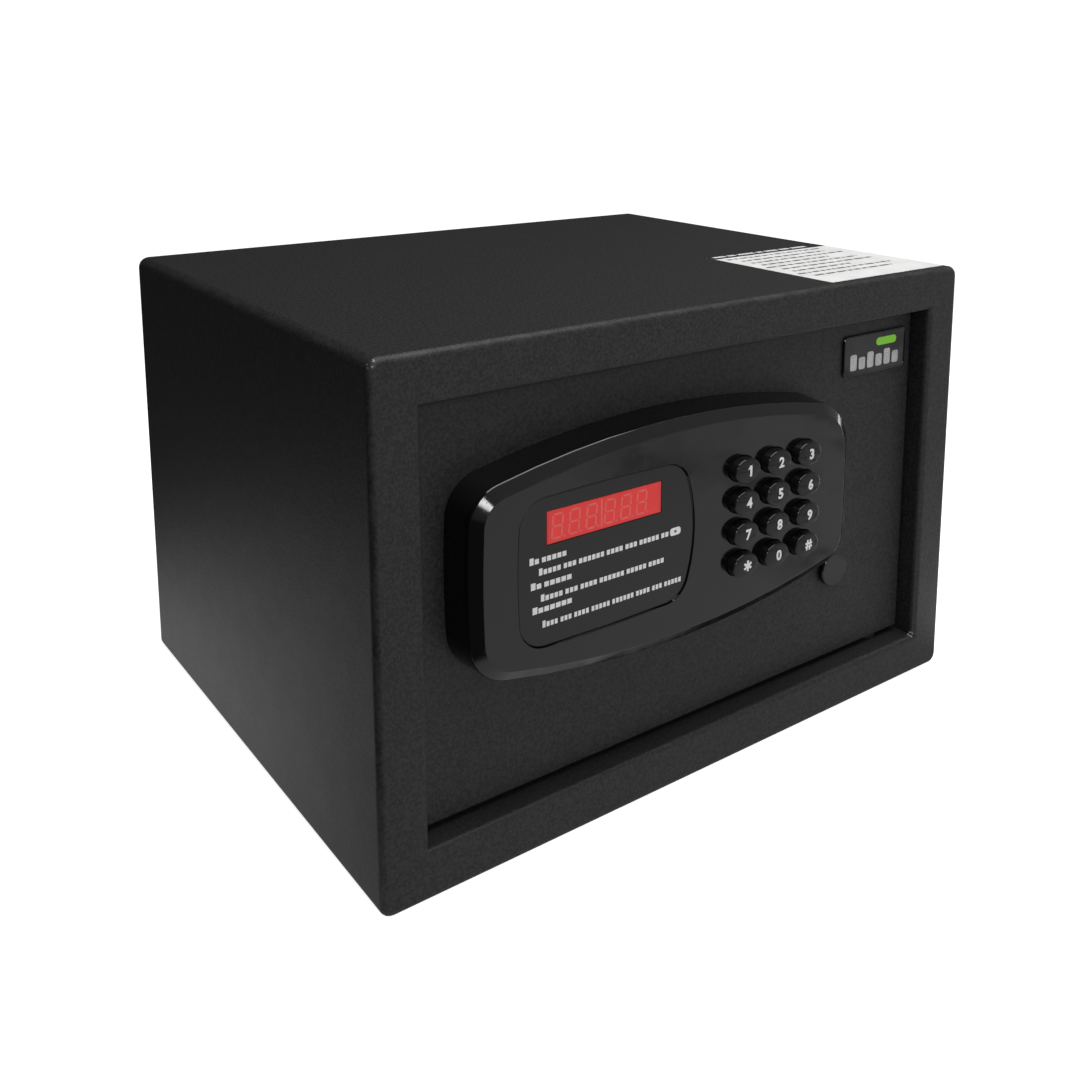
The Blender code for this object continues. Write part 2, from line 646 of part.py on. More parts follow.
def make_bolts():
    bolts = []
    for name, z in zip(("lower", "upper"), BOLT_HEIGHTS):
        nose = BOLT_TIP_X + 1.5
        start, end = (nose, BOLT_Y, z), (BOLT_TAIL_X, BOLT_Y, z)
        bolt = cylinder(f"locking_bolt_{name}", BOLT_R, start, end, CHROME, segments=28)
        tip = cylinder(
            f"join_bolt_tip_{name}", BOLT_R - 1.5, (BOLT_TIP_X, BOLT_Y, z), (nose, BOLT_Y, z), None, 28, BOLT_R
        )
        stud = cylinder(
            f"join_bolt_stud_{name}", 2.5, (-112, BOLT_Y, z), (-112, PLATE_BACK_Y + 1.2, z), segments=16
        )
        join(bolt, tip, stud)
        bolts.append(bolt)
    return bolts


def make_chassis():
    """A folded channel on the door that guides both bolts."""
    chassis = box("lock_chassis", (-134, BEHIND_DOOR_Y, 50), (-84, -103.2, 182), ZINC)
    cut(chassis, box("cut_chassis_channel", (-132, BEHIND_DOOR_Y + 1.5, 40), (-86, -95, 192)))
    for z in BOLT_HEIGHTS:
        start, end = (-140, BOLT_Y, z), (-80, BOLT_Y, z)
        cut(chassis, cylinder(f"cut_guide_{z:.0f}", BOLT_R + 0.2, start, end, segments=28))
    return chassis


def trapezoid(centre, base_half, tip_half):
    return centre - base_half, centre - tip_half, centre + tip_half, centre + base_half


def make_bolt_plate():
    """The plate that ties the bolts together, with a rack cut along its arm."""
    root, tip = RACK_Z - DEDENDUM, RACK_Z + ADDENDUM
    outline = [(-121, 58), (-104, 58), (-104, 96), (-32, 96), (-32, root)]
    pitch = math.pi * TOOTH_MODULE
    for k in range(7, -4, -1):
        a, b, c, d = trapezoid(PINION_X + (k + 0.5) * pitch, 0.30 * pitch, 0.12 * pitch)
        outline += [(d, root), (c, tip), (b, tip), (a, root)]
    outline += [(-104, root), (-104, 174), (-121, 174)]
    plate = loft("bolt_plate", [standing(outline, PLATE_BACK_Y), standing(outline, PLATE_FRONT_Y)], ZINC)
    for z in BOLT_HEIGHTS:
        start, end = (-112, PLATE_FRONT_Y - 2, z), (-112, PLATE_BACK_Y + 2, z)
        cut(plate, cylinder(f"cut_stud_hole_{z:.0f}", 2.8, start, end, segments=16))
    return plate


def make_pinion():
    """Straight-sided teeth, with one tooth pointing down between two teeth of the rack."""
    root, tip = PINION_R - DEDENDUM, PINION_R + ADDENDUM
    outline = []
    step = 2 * math.pi / PINION_TEETH
    for k in range(PINION_TEETH):
        middle = -math.pi / 2 + k * step
        for radius, lean in ((root, -0.30), (tip, -0.10), (tip, 0.10), (root, 0.30)):
            t = middle + lean * step
            outline.append((PINION_X + radius * math.cos(t), PINION_Z + radius * math.sin(t)))
    pinion = loft("drive_pinion", [standing(outline, -97.5), standing(outline, -102.8)], BRASS)
    start, end = (PINION_X, -108.5, PINION_Z), (PINION_X, -97.0, PINION_Z)
    join(pinion, cylinder("join_shaft", 2.0, start, end, segments=16))
    return pinion


def make_gearmotor():
    x, z = PINION_X, PINION_Z
    gearbox = bevelled_box(
        "gearbox", (x - 18, BEHIND_DOOR_Y, z - 15), (x + 18, -103.4, z + 15), 2.0, axis=1, material=MATTE_BLACK
    )
    cut(gearbox, cylinder("cut_shaft_bore", 2.3, (x, -110, z), (x, -100, z), segments=16))
    start, end = (x + 18 + GAP, -114.3, z), (x + 46, -114.3, z)
    motor = cylinder("drive_motor", 10.0, start, end, ZINC, segments=28)
    join(motor, cylinder("join_motor_end", 3.5, (x + 45, -114.3, z), (x + 48, -114.3, z), segments=16))
    return [gearbox, motor]


# ---------------------------------------------------------------- inner cover and batteries


def make_inner_cover():
    """An open steel pan over the lock, with a battery bay, holes for the bolts and a hole for the button."""
    pan = bevelled_box(
        "inner_cover",
        (PAN_LOW[0], BEHIND_DOOR_Y, PAN_LOW[1]),
        (PAN_HIGH[0], PAN_BACK_Y, PAN_HIGH[1]),
        4.0,
        axis=1,
        material=POWDER_COAT,
    )
    hollow = bevelled_box(
        "cut_cover_hollow",
        (PAN_LOW[0] + PAN_SHEET, BEHIND_DOOR_Y - 2, PAN_LOW[1] + PAN_SHEET),
        (PAN_HIGH[0] - PAN_SHEET, PAN_INSIDE_Y, PAN_HIGH[1] - PAN_SHEET),
        4.0 - PAN_SHEET,
        axis=1,
    )
    cut(pan, hollow)
    for z in BOLT_HEIGHTS:
        start, end = (PAN_LOW[0] - 2, BOLT_Y, z), (PAN_LOW[0] + 3, BOLT_Y, z)
        cut(pan, cylinder(f"cut_cover_bolt_{z:.0f}", BOLT_R + 0.6, start, end))
    for i, (x, z) in enumerate(stud_places()):
        start, end = (x, PAN_INSIDE_Y - 1, z), (x, PAN_BACK_Y + 1, z)
        cut(pan, cylinder(f"cut_cover_screw_{i}", 2.4, start, end, segments=16))
    low, high = battery_bay(-0.5)
    cut(pan, box("cut_battery_bay", (low[0], PAN_INSIDE_Y - 1, low[1]), (high[0], PAN_BACK_Y + 1, high[1])))
    start, end = (BUTTON_X, PAN_INSIDE_Y - 1, BUTTON_Z), (BUTTON_X, PAN_BACK_Y + 1, BUTTON_Z)
    cut(pan, cylinder("cut_button_hole", 3.4, start, end, segments=16))
    lid_low, lid_high = battery_bay(-LID_OVERLAP)
    for name, edge, outward in (("lower", lid_low[1], -1), ("upper", lid_high[1], 1)):
        join(pan, lid_rail(name, lid_high[0], edge + outward * GAP, outward))
    return pan


def lid_rail(name, end_x, near_z, outward):
    """A rail with a lip, which holds one edge of the sliding battery cover."""
    lip_z, far_z = near_z - outward * 1.8, near_z + outward * 1.6
    lip_y = PAN_BACK_Y + LID_THICK + 2 * GAP
    section = [
        (PAN_BACK_Y - 0.6, near_z),
        (lip_y, near_z),
        (lip_y, lip_z),
        (lip_y + 1.0, lip_z),
        (lip_y + 1.0, far_z),
        (PAN_BACK_Y - 0.6, far_z),
    ]
    rings = [[(x, y, z) for y, z in section] for x in (end_x - RAIL_LENGTH, end_x)]
    return loft(f"join_lid_rail_{name}", rings)


def battery_bay(inset):
    """The battery box's outline seen from the back, made smaller by inset."""
    half_x = BATTERY_PITCH * BATTERY_COUNT / 2 + 2.5 - inset
    half_z = BATTERY_LENGTH / 2 + 4.0 - inset
    x, z = BATTERY_CENTRE
    return (x - half_x, z - half_z), (x + half_x, z + half_z)


def make_batteries():
    low, high = battery_bay(0)
    back = PAN_BACK_Y
    battery_y = back - 1.0 - BATTERY_R
    front = battery_y - BATTERY_R - 1.8
    tray = bevelled_box("battery_box", (low[0], front, low[1]), (high[0], back, high[1]), 1.5, 1, MATTE_BLACK)
    inner_low, inner_high = battery_bay(1.6)
    low, high = (inner_low[0], front + 1.5, inner_low[1]), (inner_high[0], back + 2, inner_high[1])
    hollow = box("cut_tray", low, high)
    cut(tray, hollow)
    pieces = [tray]
    for i in range(BATTERY_COUNT):
        x = BATTERY_CENTRE[0] + (i - (BATTERY_COUNT - 1) / 2) * BATTERY_PITCH
        way = 1 if i % 2 else -1
        z = BATTERY_CENTRE[1]
        start, end = z - way * BATTERY_LENGTH / 2, z + way * (BATTERY_LENGTH / 2 - 1)
        cell = cylinder(f"battery_{i + 1}", BATTERY_R, (x, battery_y, start), (x, battery_y, end), CELL)
        tip = (x, battery_y, end + way)
        join(cell, cylinder(f"join_cell_tip_{i}", 2.7, (x, battery_y, end - way), tip, segments=16))
        pieces.append(cell)
    lid_low, lid_high = battery_bay(-LID_OVERLAP)
    lid = bevelled_box(
        "battery_cover",
        (lid_low[0], back + GAP, lid_low[1]),
        (lid_high[0], back + GAP + LID_THICK, lid_high[1]),
        0.7,
        axis=None,
        material=MATTE_BLACK,
        segments=2,
    )
    grip_x = high[0] - 2
    for i in range(4):
        low_z, high_z = BATTERY_CENTRE[1] - 12, BATTERY_CENTRE[1] + 12
        x = grip_x - 3 * i
        cut(lid, box(f"cut_grip_{i}", (x - 0.7, back + GAP + 1.3, low_z), (x + 0.7, back + GAP + 3, high_z)))
    pieces.append(on_pivot("battery_cover_slide", (BATTERY_CENTRE[0], back, BATTERY_CENTRE[1]), [lid]))
    return pieces


def make_reset_button():
    y = PAN_BACK_Y
    start, end = (BUTTON_X, y - 6, BUTTON_Z), (BUTTON_X, y + 2, BUTTON_Z)
    button = cylinder("reset_button", 3.0, start, end, RED_BUTTON, 20)
    flange = cylinder(
        "join_button_flange", 4.4, (BUTTON_X, y - 2.9, BUTTON_Z), (BUTTON_X, y - 1.6, BUTTON_Z), segments=20
    )
    join(button, flange)
    slide = on_pivot("reset_button_slide", (BUTTON_X, y, BUTTON_Z), [button])
    low, high = (BUTTON_X - 5, y - 14, BUTTON_Z - 5), (BUTTON_X + 5, y - 8, BUTTON_Z + 5)
    switch = box("button_switch", low, high, MATTE_BLACK)
    return [switch, slide]


def make_cover_screws():
    screws = []
    for i, (x, z) in enumerate(stud_places()):
        head, seat = PAN_BACK_Y + GAP, PAN_INSIDE_Y - 8
        screw = cylinder(f"cover_screw_{i + 1}", 1.9, (x, seat, z), (x, head + 0.5, z), ZINC, segments=12)
        start, end = (x, head, z), (x, head + 2.2, z)
        join(screw, cylinder(f"join_screw_head_{i}", 3.8, start, end, segments=16, end_radius=2.8))
        for j, (wide, tall) in enumerate(((4.4, 0.9), (0.9, 4.4))):
            low, high = (x - wide / 2, head + 1.0, z - tall / 2), (x + wide / 2, head + 4, z + tall / 2)
            cut(screw, box(f"cut_screw_slot_{i}_{j}", low, high))
        screws.append(screw)
    return screws


def make_loom():
    """The wires from the circuit board through the door to the battery box, as one sleeved bundle."""
    low, _ = battery_bay(0)
    end_x, bend = low[0] - GAP, 12.0
    turn_y = -110.0
    points = [(LOOM_X, y, LOOM_Z) for y in (BOARD_FRONT_Y + BOARD_THICK + GAP, -128.0, turn_y - bend)]
    for i in range(1, 6):
        t = math.pi / 2 * i / 5
        points.append((LOOM_X + bend * (1 - math.cos(t)), turn_y - bend + bend * math.sin(t), LOOM_Z))
    points.append((end_x, turn_y, LOOM_Z))
    curve = bpy.data.curves.new("wiring_loom", "CURVE")
    curve.dimensions = "3D"
    curve.bevel_depth = LOOM_R * MM
    curve.bevel_resolution = 2
    curve.use_fill_caps = True
    spline = curve.splines.new("POLY")
    spline.points.add(len(points) - 1)
    for place, point in zip(spline.points, points):
        place.co = (*(Vector(point) * MM), 1.0)
    curve.materials.append(SILICONE)
    loom = bpy.data.objects.new("wiring_loom", curve)
    PARTS.objects.link(loom)
    return loom


clear_scene()
PARTS = new_collection("in_room_safe")
HELPERS = new_collection("cutters_and_helpers")

POWDER_COAT = new_material("powder_coat_black", (0.022, 0.022, 0.023), 0.55)
GLOSS_BLACK = new_material("gloss_black_plastic", (0.012, 0.012, 0.013), 0.16)
KEY_BLACK = new_material("key_black_plastic", (0.018, 0.018, 0.019), 0.3)
SMOKED = new_material("smoked_window", (0.016, 0.016, 0.017), 0.12)
RED_FILTER = new_material("red_display_filter", (0.62, 0.06, 0.05), 0.25)
MATTE_BLACK = new_material("matte_black_plastic", (0.03, 0.03, 0.032), 0.6)
SILICONE = new_material("grey_silicone", (0.2, 0.2, 0.21), 0.7)
BOARD = new_material("circuit_board_green", (0.02, 0.13, 0.05), 0.4)
ZINC = new_material("zinc_plated_steel", (0.62, 0.62, 0.6), 0.38, 1.0)
STEEL = new_material("bright_steel", (0.56, 0.56, 0.57), 0.3, 1.0)
CHROME = new_material("chromed_steel", (0.75, 0.75, 0.76), 0.12, 1.0)
BRASS = new_material("brass", (0.72, 0.5, 0.22), 0.3, 1.0)
NYLON = new_material("black_nylon", (0.03, 0.03, 0.03), 0.5)
FELT = new_material("grey_felt", (0.06, 0.06, 0.065), 0.95)
LABEL = new_material("white_label", (0.85, 0.85, 0.85), 0.45)
CELL = new_material("battery_jacket", (0.1, 0.16, 0.3), 0.35)
RED_BUTTON = new_material("red_button", (0.6, 0.03, 0.03), 0.4)
RUBBER = new_material("black_rubber", (0.02, 0.02, 0.02), 0.8)

make_body_shell()
make_rear_panel()
make_cabinet_fittings()
make_hinge()

door_pieces = [
    make_door_plate(),
    make_hinge_block("hinge_block_lower", DOOR_LOW[1], DOOR_LOW[1] + 18),
    make_hinge_block("hinge_block_upper", DOOR_HIGH[1] - 18, DOOR_HIGH[1]),
    make_nameplate(),
    make_panel_housing(),
    make_keypad_mat(),
    make_chassis(),
    make_inner_cover(),
    make_loom(),
    *make_display(),
    *[make_key(label, centre) for label, centre in key_places()],
    *make_override(),
    *make_gearmotor(),
    *make_reset_button(),
    *make_batteries(),
    *make_cover_screws(),
    on_pivot("bolt_slide", (BOLT_TIP_X, BOLT_Y, HEIGHT / 2), [make_bolt_plate(), *make_bolts()]),
    on_pivot("pinion_axis", (PINION_X, PLATE_BACK_Y, PINION_Z), [make_pinion()]),
]
on_pivot("door_axis", (PIVOT_X, PIVOT_Y, HEIGHT / 2), door_pieces)
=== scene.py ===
"""The looks of the in-room safe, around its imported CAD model.

The frame has +X to the right and +Z up, seen by someone facing the door at -Y.
Sizes in this script are in metres, and MM turns a length in millimetres into metres.
"""

import json
import math
import random

import bmesh
import bpy
from mathutils import Matrix, Vector


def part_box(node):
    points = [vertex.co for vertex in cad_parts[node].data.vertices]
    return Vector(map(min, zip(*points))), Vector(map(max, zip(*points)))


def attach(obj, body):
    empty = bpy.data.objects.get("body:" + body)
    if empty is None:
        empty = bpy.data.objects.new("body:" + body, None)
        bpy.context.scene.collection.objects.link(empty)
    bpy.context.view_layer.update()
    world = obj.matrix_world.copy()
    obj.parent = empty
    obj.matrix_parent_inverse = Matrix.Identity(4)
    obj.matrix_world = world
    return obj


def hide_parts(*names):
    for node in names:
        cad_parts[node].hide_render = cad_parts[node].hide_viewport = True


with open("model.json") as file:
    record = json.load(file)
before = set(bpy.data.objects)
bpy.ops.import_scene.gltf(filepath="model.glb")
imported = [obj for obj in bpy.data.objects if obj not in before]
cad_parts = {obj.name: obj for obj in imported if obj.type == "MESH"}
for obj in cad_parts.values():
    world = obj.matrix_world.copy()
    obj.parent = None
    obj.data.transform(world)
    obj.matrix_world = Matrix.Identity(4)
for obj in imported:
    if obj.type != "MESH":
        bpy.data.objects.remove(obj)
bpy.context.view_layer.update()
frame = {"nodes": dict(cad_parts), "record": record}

MM = 0.001
NODES = frame["nodes"]
RECORD = frame["record"]
BODY_OF = {node: body for body, nodes in RECORD["behaviour"]["bodies"].items() for node in nodes}
SLOT_OF = {part["node"]: part["material_slot"] for part in RECORD["subparts"]}
FACING_FRONT = Matrix.Rotation(math.pi / 2, 4, "X")  # turns a drawing in the X-Y plane to face -Y
INK = 0.03 * MM  # how far print stands off the face under it

SHELL_LOW, SHELL_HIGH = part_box("body_shell")
WINDOW_LOW, WINDOW_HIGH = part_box("display_window")
FILTER_LOW, FILTER_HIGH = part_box("led_filter")
PLATE_LOW, PLATE_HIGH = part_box("nameplate")
LABEL_LOW, LABEL_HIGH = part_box("instruction_label")
MAT_LOW, MAT_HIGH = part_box("floor_mat")

# Colours are linear, as the shader takes them.
COAT_DARK = (0.0035, 0.0035, 0.0037)
COAT_LIGHT = (0.0235, 0.0235, 0.0238)
COAT_DUSTY = (0.018, 0.018, 0.0178)
# A lighter grey for the cabinet's edges: rubbed wear mixed with a painted highlight of the rounded edges.
COAT_RUBBED_AND_HIGHLIGHT = (0.05, 0.05, 0.05)
COAT_SPECULAR = 0.45
BARE_STEEL = (0.3, 0.3, 0.29)
OPENING_CORNER = Vector((153 * MM, SHELL_LOW.y + 2 * MM, 22 * MM))
WORN_CORNERS = (
    (Vector((SHELL_LOW.x + 1.5 * MM, SHELL_LOW.y + 1.0 * MM, SHELL_HIGH.z - 1.5 * MM)), 4 * MM),
    (OPENING_CORNER, 3 * MM),
)

KEY_SIGNS = {**{str(i): str(i) for i in range(10)}, "star": "star", "hash": "hash"}
SIGN_HEIGHT = 5.2 * MM
SIGN_WEIGHT = 0.05  # how much bolder than the font, beside the height
SIGN_STROKE = 1.2 * MM
SIGN_ASIDE = 0.7 * MM  # the signs sit a little right of the middle
ROUND = [math.pi / 32 * i for i in range(64)]
KEY_FLANGE = 1.4 * MM
FLANGE_THICK = 1.0 * MM
KEY_ROUNDING = 0.9 * MM
KEY_EDGE_STEPS = 6
KEY_EDGE_TURN = math.radians(75)  # how far round the edge goes before the dome takes over
KEY_DOME = 0.4 * MM
INK_STEP = 0.9 * MM
KEY_DOME_STEPS = 10
CAPITAL_SHARE = 0.729  # a figure's height beside the size of Blender's own font

# Left edges of the figures and the place of the bar between them, from the filter's left edge.
DIGIT_PLACES = [x * MM for x in (2.8, 11.4, 20.2, 29.8, 38.5, 47.1)]
DIGIT_BAR = 27.9 * MM
DIGIT_HEIGHT = 10.2 * MM
DIGIT_WIDTH = 4.9 * MM
DIGIT_LEAN = 0.08
SEGMENT_WIDTH = 0.85 * MM
OCTAGON = [math.pi / 4 * i for i in range(8)]

# Indent, length and number of letters of each word, for each line in the window.
WINDOW_LINES = (
    (0.0, 18.3 * MM, (2, 5)),
    (4.6 * MM, 69.0 * MM, (5, 3, 6, 4, 3, 5, 2)),
    (0.6 * MM, 20.3 * MM, (2, 5)),
    (5.5 * MM, 65.6 * MM, (5, 3, 4, 6, 5, 4)),
    (1.4 * MM, 19.7 * MM, (7,)),
    (6.3 * MM, 75.0 * MM, (4, 3, 4, 5, 6, 4, 3, 5)),
)
LETTER_GAP = 0.55 * MM
WORD_GAP = 1.5 * MM
LETTER_LOW, LETTER_TALL = 2.2 * MM, 3.0 * MM
LINE_START_X = -110.5 * MM
LINE_HEIGHTS = [z * MM for z in (136.4, 131.0, 125.5, 119.5, 114.8, 107.9)]
KEY_SYMBOL_X = -35.9 * MM

BADGE_BLOCKS = 6
HEADER_DEPTH = 10 * MM
LABEL_MARGIN = 4 * MM
LABEL_LINE_PITCH = 7.6 * MM
LABEL_TEXT = 2.4 * MM
# Indent of each printed line, and the share of the label's width where it ends.
LABEL_LINES = (
    (0.0, 0.92), (4 * MM, 0.86), (4 * MM, 0.95), (4 * MM, 0.7), (0.0, 0.88),
    (4 * MM, 0.94), (4 * MM, 0.6), (0.0, 0.9), (4 * MM, 0.8),
)
SPRING_TURNS = 4

# CAD nodes that are shown as a smooth copy, and how far their sharp edges are broken, in millimetres.
FINISHED = {
    **dict.fromkeys(("panel_housing", "override_cover", "display_window", "body_shell", "inner_cover"), 0.0),
    **dict.fromkeys(("locking_bolt_lower", "locking_bolt_upper"), 0.0),
    **dict.fromkeys(("lock_cylinder", "lock_plug", "lock_cam"), 0.0),
    **dict.fromkeys(("hinge_pin_lower", "hinge_pin_upper", "hinge_washer", "cover_rivet", "drive_pinion"), 0.0),
    **dict.fromkeys(("cover_screw_1", "cover_screw_2", "cover_screw_3", "cover_screw_4"), 0.0),
    **dict.fromkeys(("battery_1", "battery_2", "battery_3", "battery_4", "reset_button"), 0.0),
    **dict.fromkeys(("anchor_plug_left", "anchor_plug_right", "wiring_loom", "hinge_block_lower"), 0.0),
    **dict.fromkeys(("hinge_block_upper", "lock_chassis", "keypad_mat"), 0.0),
    **dict.fromkeys(("door_plate", "rear_panel", "bolt_keeper", "bolt_plate", "battery_box"), 0.3),
    **dict.fromkeys(("battery_cover", "drive_motor", "gearbox", "button_switch", "cylinder_nut"), 0.4),
    **dict.fromkeys(("door_stop", "led_module", "circuit_board", "led_filter"), 0.15),
}


# ---------------------------------------------------------------- material tools


class Shader:
    """A material's node tree, with short names for the nodes that the finishes below are made of."""

    def __init__(self, name, colour=(0.8, 0.8, 0.8), roughness=0.5, metallic=0.0):
        self.material = bpy.data.materials.new(name)
        self.material.use_nodes = True
        self.tree = self.material.node_tree
        self.surface = self.tree.nodes["Principled BSDF"]
        self.place = self.add("ShaderNodeTexCoord").outputs["Object"]
        self.set("Base Color", (*colour, 1.0))
        self.set("Roughness", roughness)
        self.set("Metallic", metallic)

    def add(self, kind, **settings):
        node = self.tree.nodes.new(kind)
        for key, value in settings.items():
            setattr(node, key, value)
        return node

    def set(self, name, value):
        """Gives a socket of the surface a constant, or links an output to it."""
        self.fill(self.surface.inputs[name], value)

    def fill(self, socket, value):
        if isinstance(value, bpy.types.NodeSocket):
            self.tree.links.new(value, socket)
        else:
            socket.default_value = value

    def math(self, operation, *values, clamp=False):
        node = self.add("ShaderNodeMath", operation=operation, use_clamp=clamp)
        for socket, value in zip(node.inputs, values):
            self.fill(socket, value)
        return node.outputs[0]

    def span(self, value, low, high, to_low=0.0, to_high=1.0):
        """A smooth step from one value to another, while the input goes from low to high."""
        node = self.add("ShaderNodeMapRange", interpolation_type="SMOOTHSTEP")
        for socket, number in zip(node.inputs, (value, low, high, to_low, to_high)):
            self.fill(socket, number)
        return node.outputs[0]

    def noise(self, size, detail=2.0, stretch=(1.0, 1.0, 1.0), rough=0.5):
        """Noise whose features are about size metres across."""
        mapping = self.add("ShaderNodeMapping")
        mapping.inputs["Scale"].default_value = stretch
        self.fill(mapping.inputs["Vector"], self.place)
        node = self.add("ShaderNodeTexNoise")
        self.fill(node.inputs["Vector"], mapping.outputs[0])
        node.inputs["Scale"].default_value = 1.0 / size
        node.inputs["Detail"].default_value = detail
        node.inputs["Roughness"].default_value = rough
        return node.outputs["Fac"]

    def cells(self, size, feature="F1"):
        node = self.add("ShaderNodeTexVoronoi", feature=feature)
        self.fill(node.inputs["Vector"], self.place)
        node.inputs["Scale"].default_value = 1.0 / size
        return node.outputs["Distance"]

    def mix(self, share, first, second):
        node = self.add("ShaderNodeMix", data_type="RGBA")
        self.fill(node.inputs["Factor"], share)
        for name, value in (("A", first), ("B", second)):
            socket = next(s for s in node.inputs if s.name == name and s.type == "RGBA")
            self.fill(socket, value if isinstance(value, bpy.types.NodeSocket) else (*value, 1.0))
        return next(s for s in node.outputs if s.type == "RGBA")

    def axes(self):
        node = self.add("ShaderNodeSeparateXYZ")
        self.fill(node.inputs[0], self.place)
        return node.outputs

    def near(self, point, radius):
        """1 at a point, falling to 0 at the radius."""
        node = self.add("ShaderNodeVectorMath", operation="DISTANCE")
        self.fill(node.inputs[0], self.place)
        node.inputs[1].default_value = point
        return self.span(node.outputs["Value"], radius, 0.0)

    def bump(self, height, depth, under=None):
        """Adds relief of the given depth in metres, over an earlier bump if there is one."""
        node = self.add("ShaderNodeBump")
        node.inputs["Strength"].default_value = 1.0
        node.inputs["Distance"].default_value = depth
        self.fill(node.inputs["Height"], height)
        if under is not None:
            self.fill(node.inputs["Normal"], under)
        self.set("Normal", node.outputs[0])
        return node.outputs[0]


def powder_coat(name="powder_coat", edges=True):
    """Fine-textured black powder coat, rubbed a little bare at its corners, and lighter along the cabinet's
    edges, where rubbed wear and a painted edge highlight are mixed.
    """
    s = Shader(name)
    grain = s.noise(1.3 * MM, detail=3.0, rough=0.65)
    drift = s.noise(45 * MM, detail=2.0)
    colour = s.mix(s.span(grain, 0.3, 0.7), COAT_DARK, COAT_LIGHT)
    colour = s.mix(s.math("MULTIPLY", s.span(drift, 0.4, 0.75), 0.08), colour, COAT_DUSTY)
    roughness = s.span(s.noise(12 * MM, detail=4.0), 0.3, 0.7, 0.53, 0.55)
    if edges:
        x, y, z = s.axes()
        beyond_x = s.span(s.math("ABSOLUTE", x), SHELL_HIGH.x - 3.4 * MM, SHELL_HIGH.x - 0.6 * MM)
        beyond_y = s.span(y, SHELL_LOW.y + 3.0 * MM, SHELL_LOW.y + 0.4 * MM)
        beyond_z = s.span(z, SHELL_HIGH.z - 3.4 * MM, SHELL_HIGH.z - 0.6 * MM)
        rim = s.math(
            "MAXIMUM", s.math("MULTIPLY", beyond_x, beyond_y), s.math("MULTIPLY", beyond_y, beyond_z)
        )
        rim = s.math("MAXIMUM", rim, s.math("MULTIPLY", beyond_x, beyond_z))
        # Lighter along the edges: partly rubbed wear, partly a painted highlight of the rounded edges.
        rub_and_highlight = s.math("MULTIPLY", rim, s.span(s.noise(9 * MM, detail=5.0, rough=0.7), 0.42, 0.62))
        colour = s.mix(s.math("MULTIPLY", rub_and_highlight, 0.5), colour, COAT_RUBBED_AND_HIGHLIGHT)
        chips = s.span(s.noise(1.6 * MM, detail=2.0), 0.52, 0.6)
        for corner, radius in WORN_CORNERS:
            spot = s.math("MULTIPLY", s.span(s.near(corner, radius), 0.2, 0.7), chips)
            colour = s.mix(spot, colour, BARE_STEEL)
    s.set("Base Color", colour)
    s.set("Roughness", roughness)
    s.set("Specular IOR Level", COAT_SPECULAR)
    fine = s.bump(grain, 0.14 * MM)
    s.bump(s.noise(4 * MM, detail=2.0), 0.04 * MM, under=fine)
    return s.material


def gloss_plastic(name, colour, smudge=0.12):
    """Glossy black moulding: slight waves from the mould, finger smudges and hairline scratches."""
    s = Shader(name, colour)
    smudges = s.span(s.noise(22 * MM, detail=4.0, rough=0.65), 0.42, 0.68, 0.0, smudge)
    specks = s.span(s.noise(1.2 * MM, detail=1.0), 0.66, 0.8, 0.0, 0.15)
    s.set("Roughness", s.math("ADD", s.math("ADD", smudges, specks), 0.08))
    s.set("Specular IOR Level", 0.56)
    waves = s.bump(s.noise(28 * MM, detail=1.0), 0.35 * MM)
    s.bump(s.noise(6 * MM, detail=1.0, stretch=(1.0, 1.0, 0.08)), 0.004 * MM, under=waves)
    return s.material


def key_plastic():
    """Polished black caps, faintly worn."""
    s = Shader("key_black_gloss")
    grain = s.noise(0.35 * MM, detail=2.0)
    s.set("Base Color", s.mix(s.span(grain, 0.35, 0.7), (0.006, 0.006, 0.0065), (0.010, 0.010, 0.0105)))
    s.set("Roughness", s.span(s.noise(5 * MM, detail=3.0), 0.3, 0.7, 0.07, 0.13))
    s.set("Specular IOR Level", 0.36)
    s.bump(grain, 0.002 * MM)
    return s.material


def smoked_window():
    """A smoked acrylic plate with a fine matt hard coat, a little dust and faint wiping marks."""
    s = Shader("smoked_acrylic")
    dust = s.span(s.noise(0.7 * MM, detail=2.0), 0.7, 0.78)
    s.set("Base Color", s.mix(s.math("MULTIPLY", dust, 0.3), (0.0115, 0.0115, 0.012), (0.05, 0.05, 0.05)))
    wipes = s.noise(14 * MM, detail=3.0, stretch=(0.35, 1.0, 1.0))
    s.set("Roughness", s.span(wipes, 0.35, 0.7, 0.22, 0.33))
    s.set("Specular IOR Level", 0.42)
    return s.material


def red_filter():
    """The display's red filter: given a faint painted glow, and darker towards its rim."""
    s = Shader("red_display_filter")
    x, _, z = s.axes()
    middle_x, middle_z = (FILTER_LOW.x + FILTER_HIGH.x) / 2, (FILTER_LOW.z + FILTER_HIGH.z) / 2
    half_x, half_z = (FILTER_HIGH.x - FILTER_LOW.x) / 2, (FILTER_HIGH.z - FILTER_LOW.z) / 2
    from_x = s.math("DIVIDE", s.math("ABSOLUTE", s.math("SUBTRACT", x, middle_x)), half_x)
    from_z = s.math("DIVIDE", s.math("ABSOLUTE", s.math("SUBTRACT", z, middle_z)), half_z)
    rim = s.span(s.math("MAXIMUM", from_x, from_z), 0.9, 1.0)
    mottle = s.span(s.noise(9 * MM, detail=2.0), 0.3, 0.7, 0.0, 0.35)
    colour = s.mix(mottle, (0.72, 0.03, 0.032), (0.82, 0.052, 0.05))
    s.set("Base Color", s.mix(s.math("MULTIPLY", rim, 0.5), colour, (0.42, 0.03, 0.028)))
    s.set("Roughness", s.span(s.noise(3 * MM), 0.3, 0.7, 0.3, 0.4))
    # Painted glow: the filter shines by itself, with no lamp behind it.
    s.set("Emission Color", (0.9, 0.05, 0.03, 1.0))
    s.set("Emission Strength", 0.09)
    return s.material


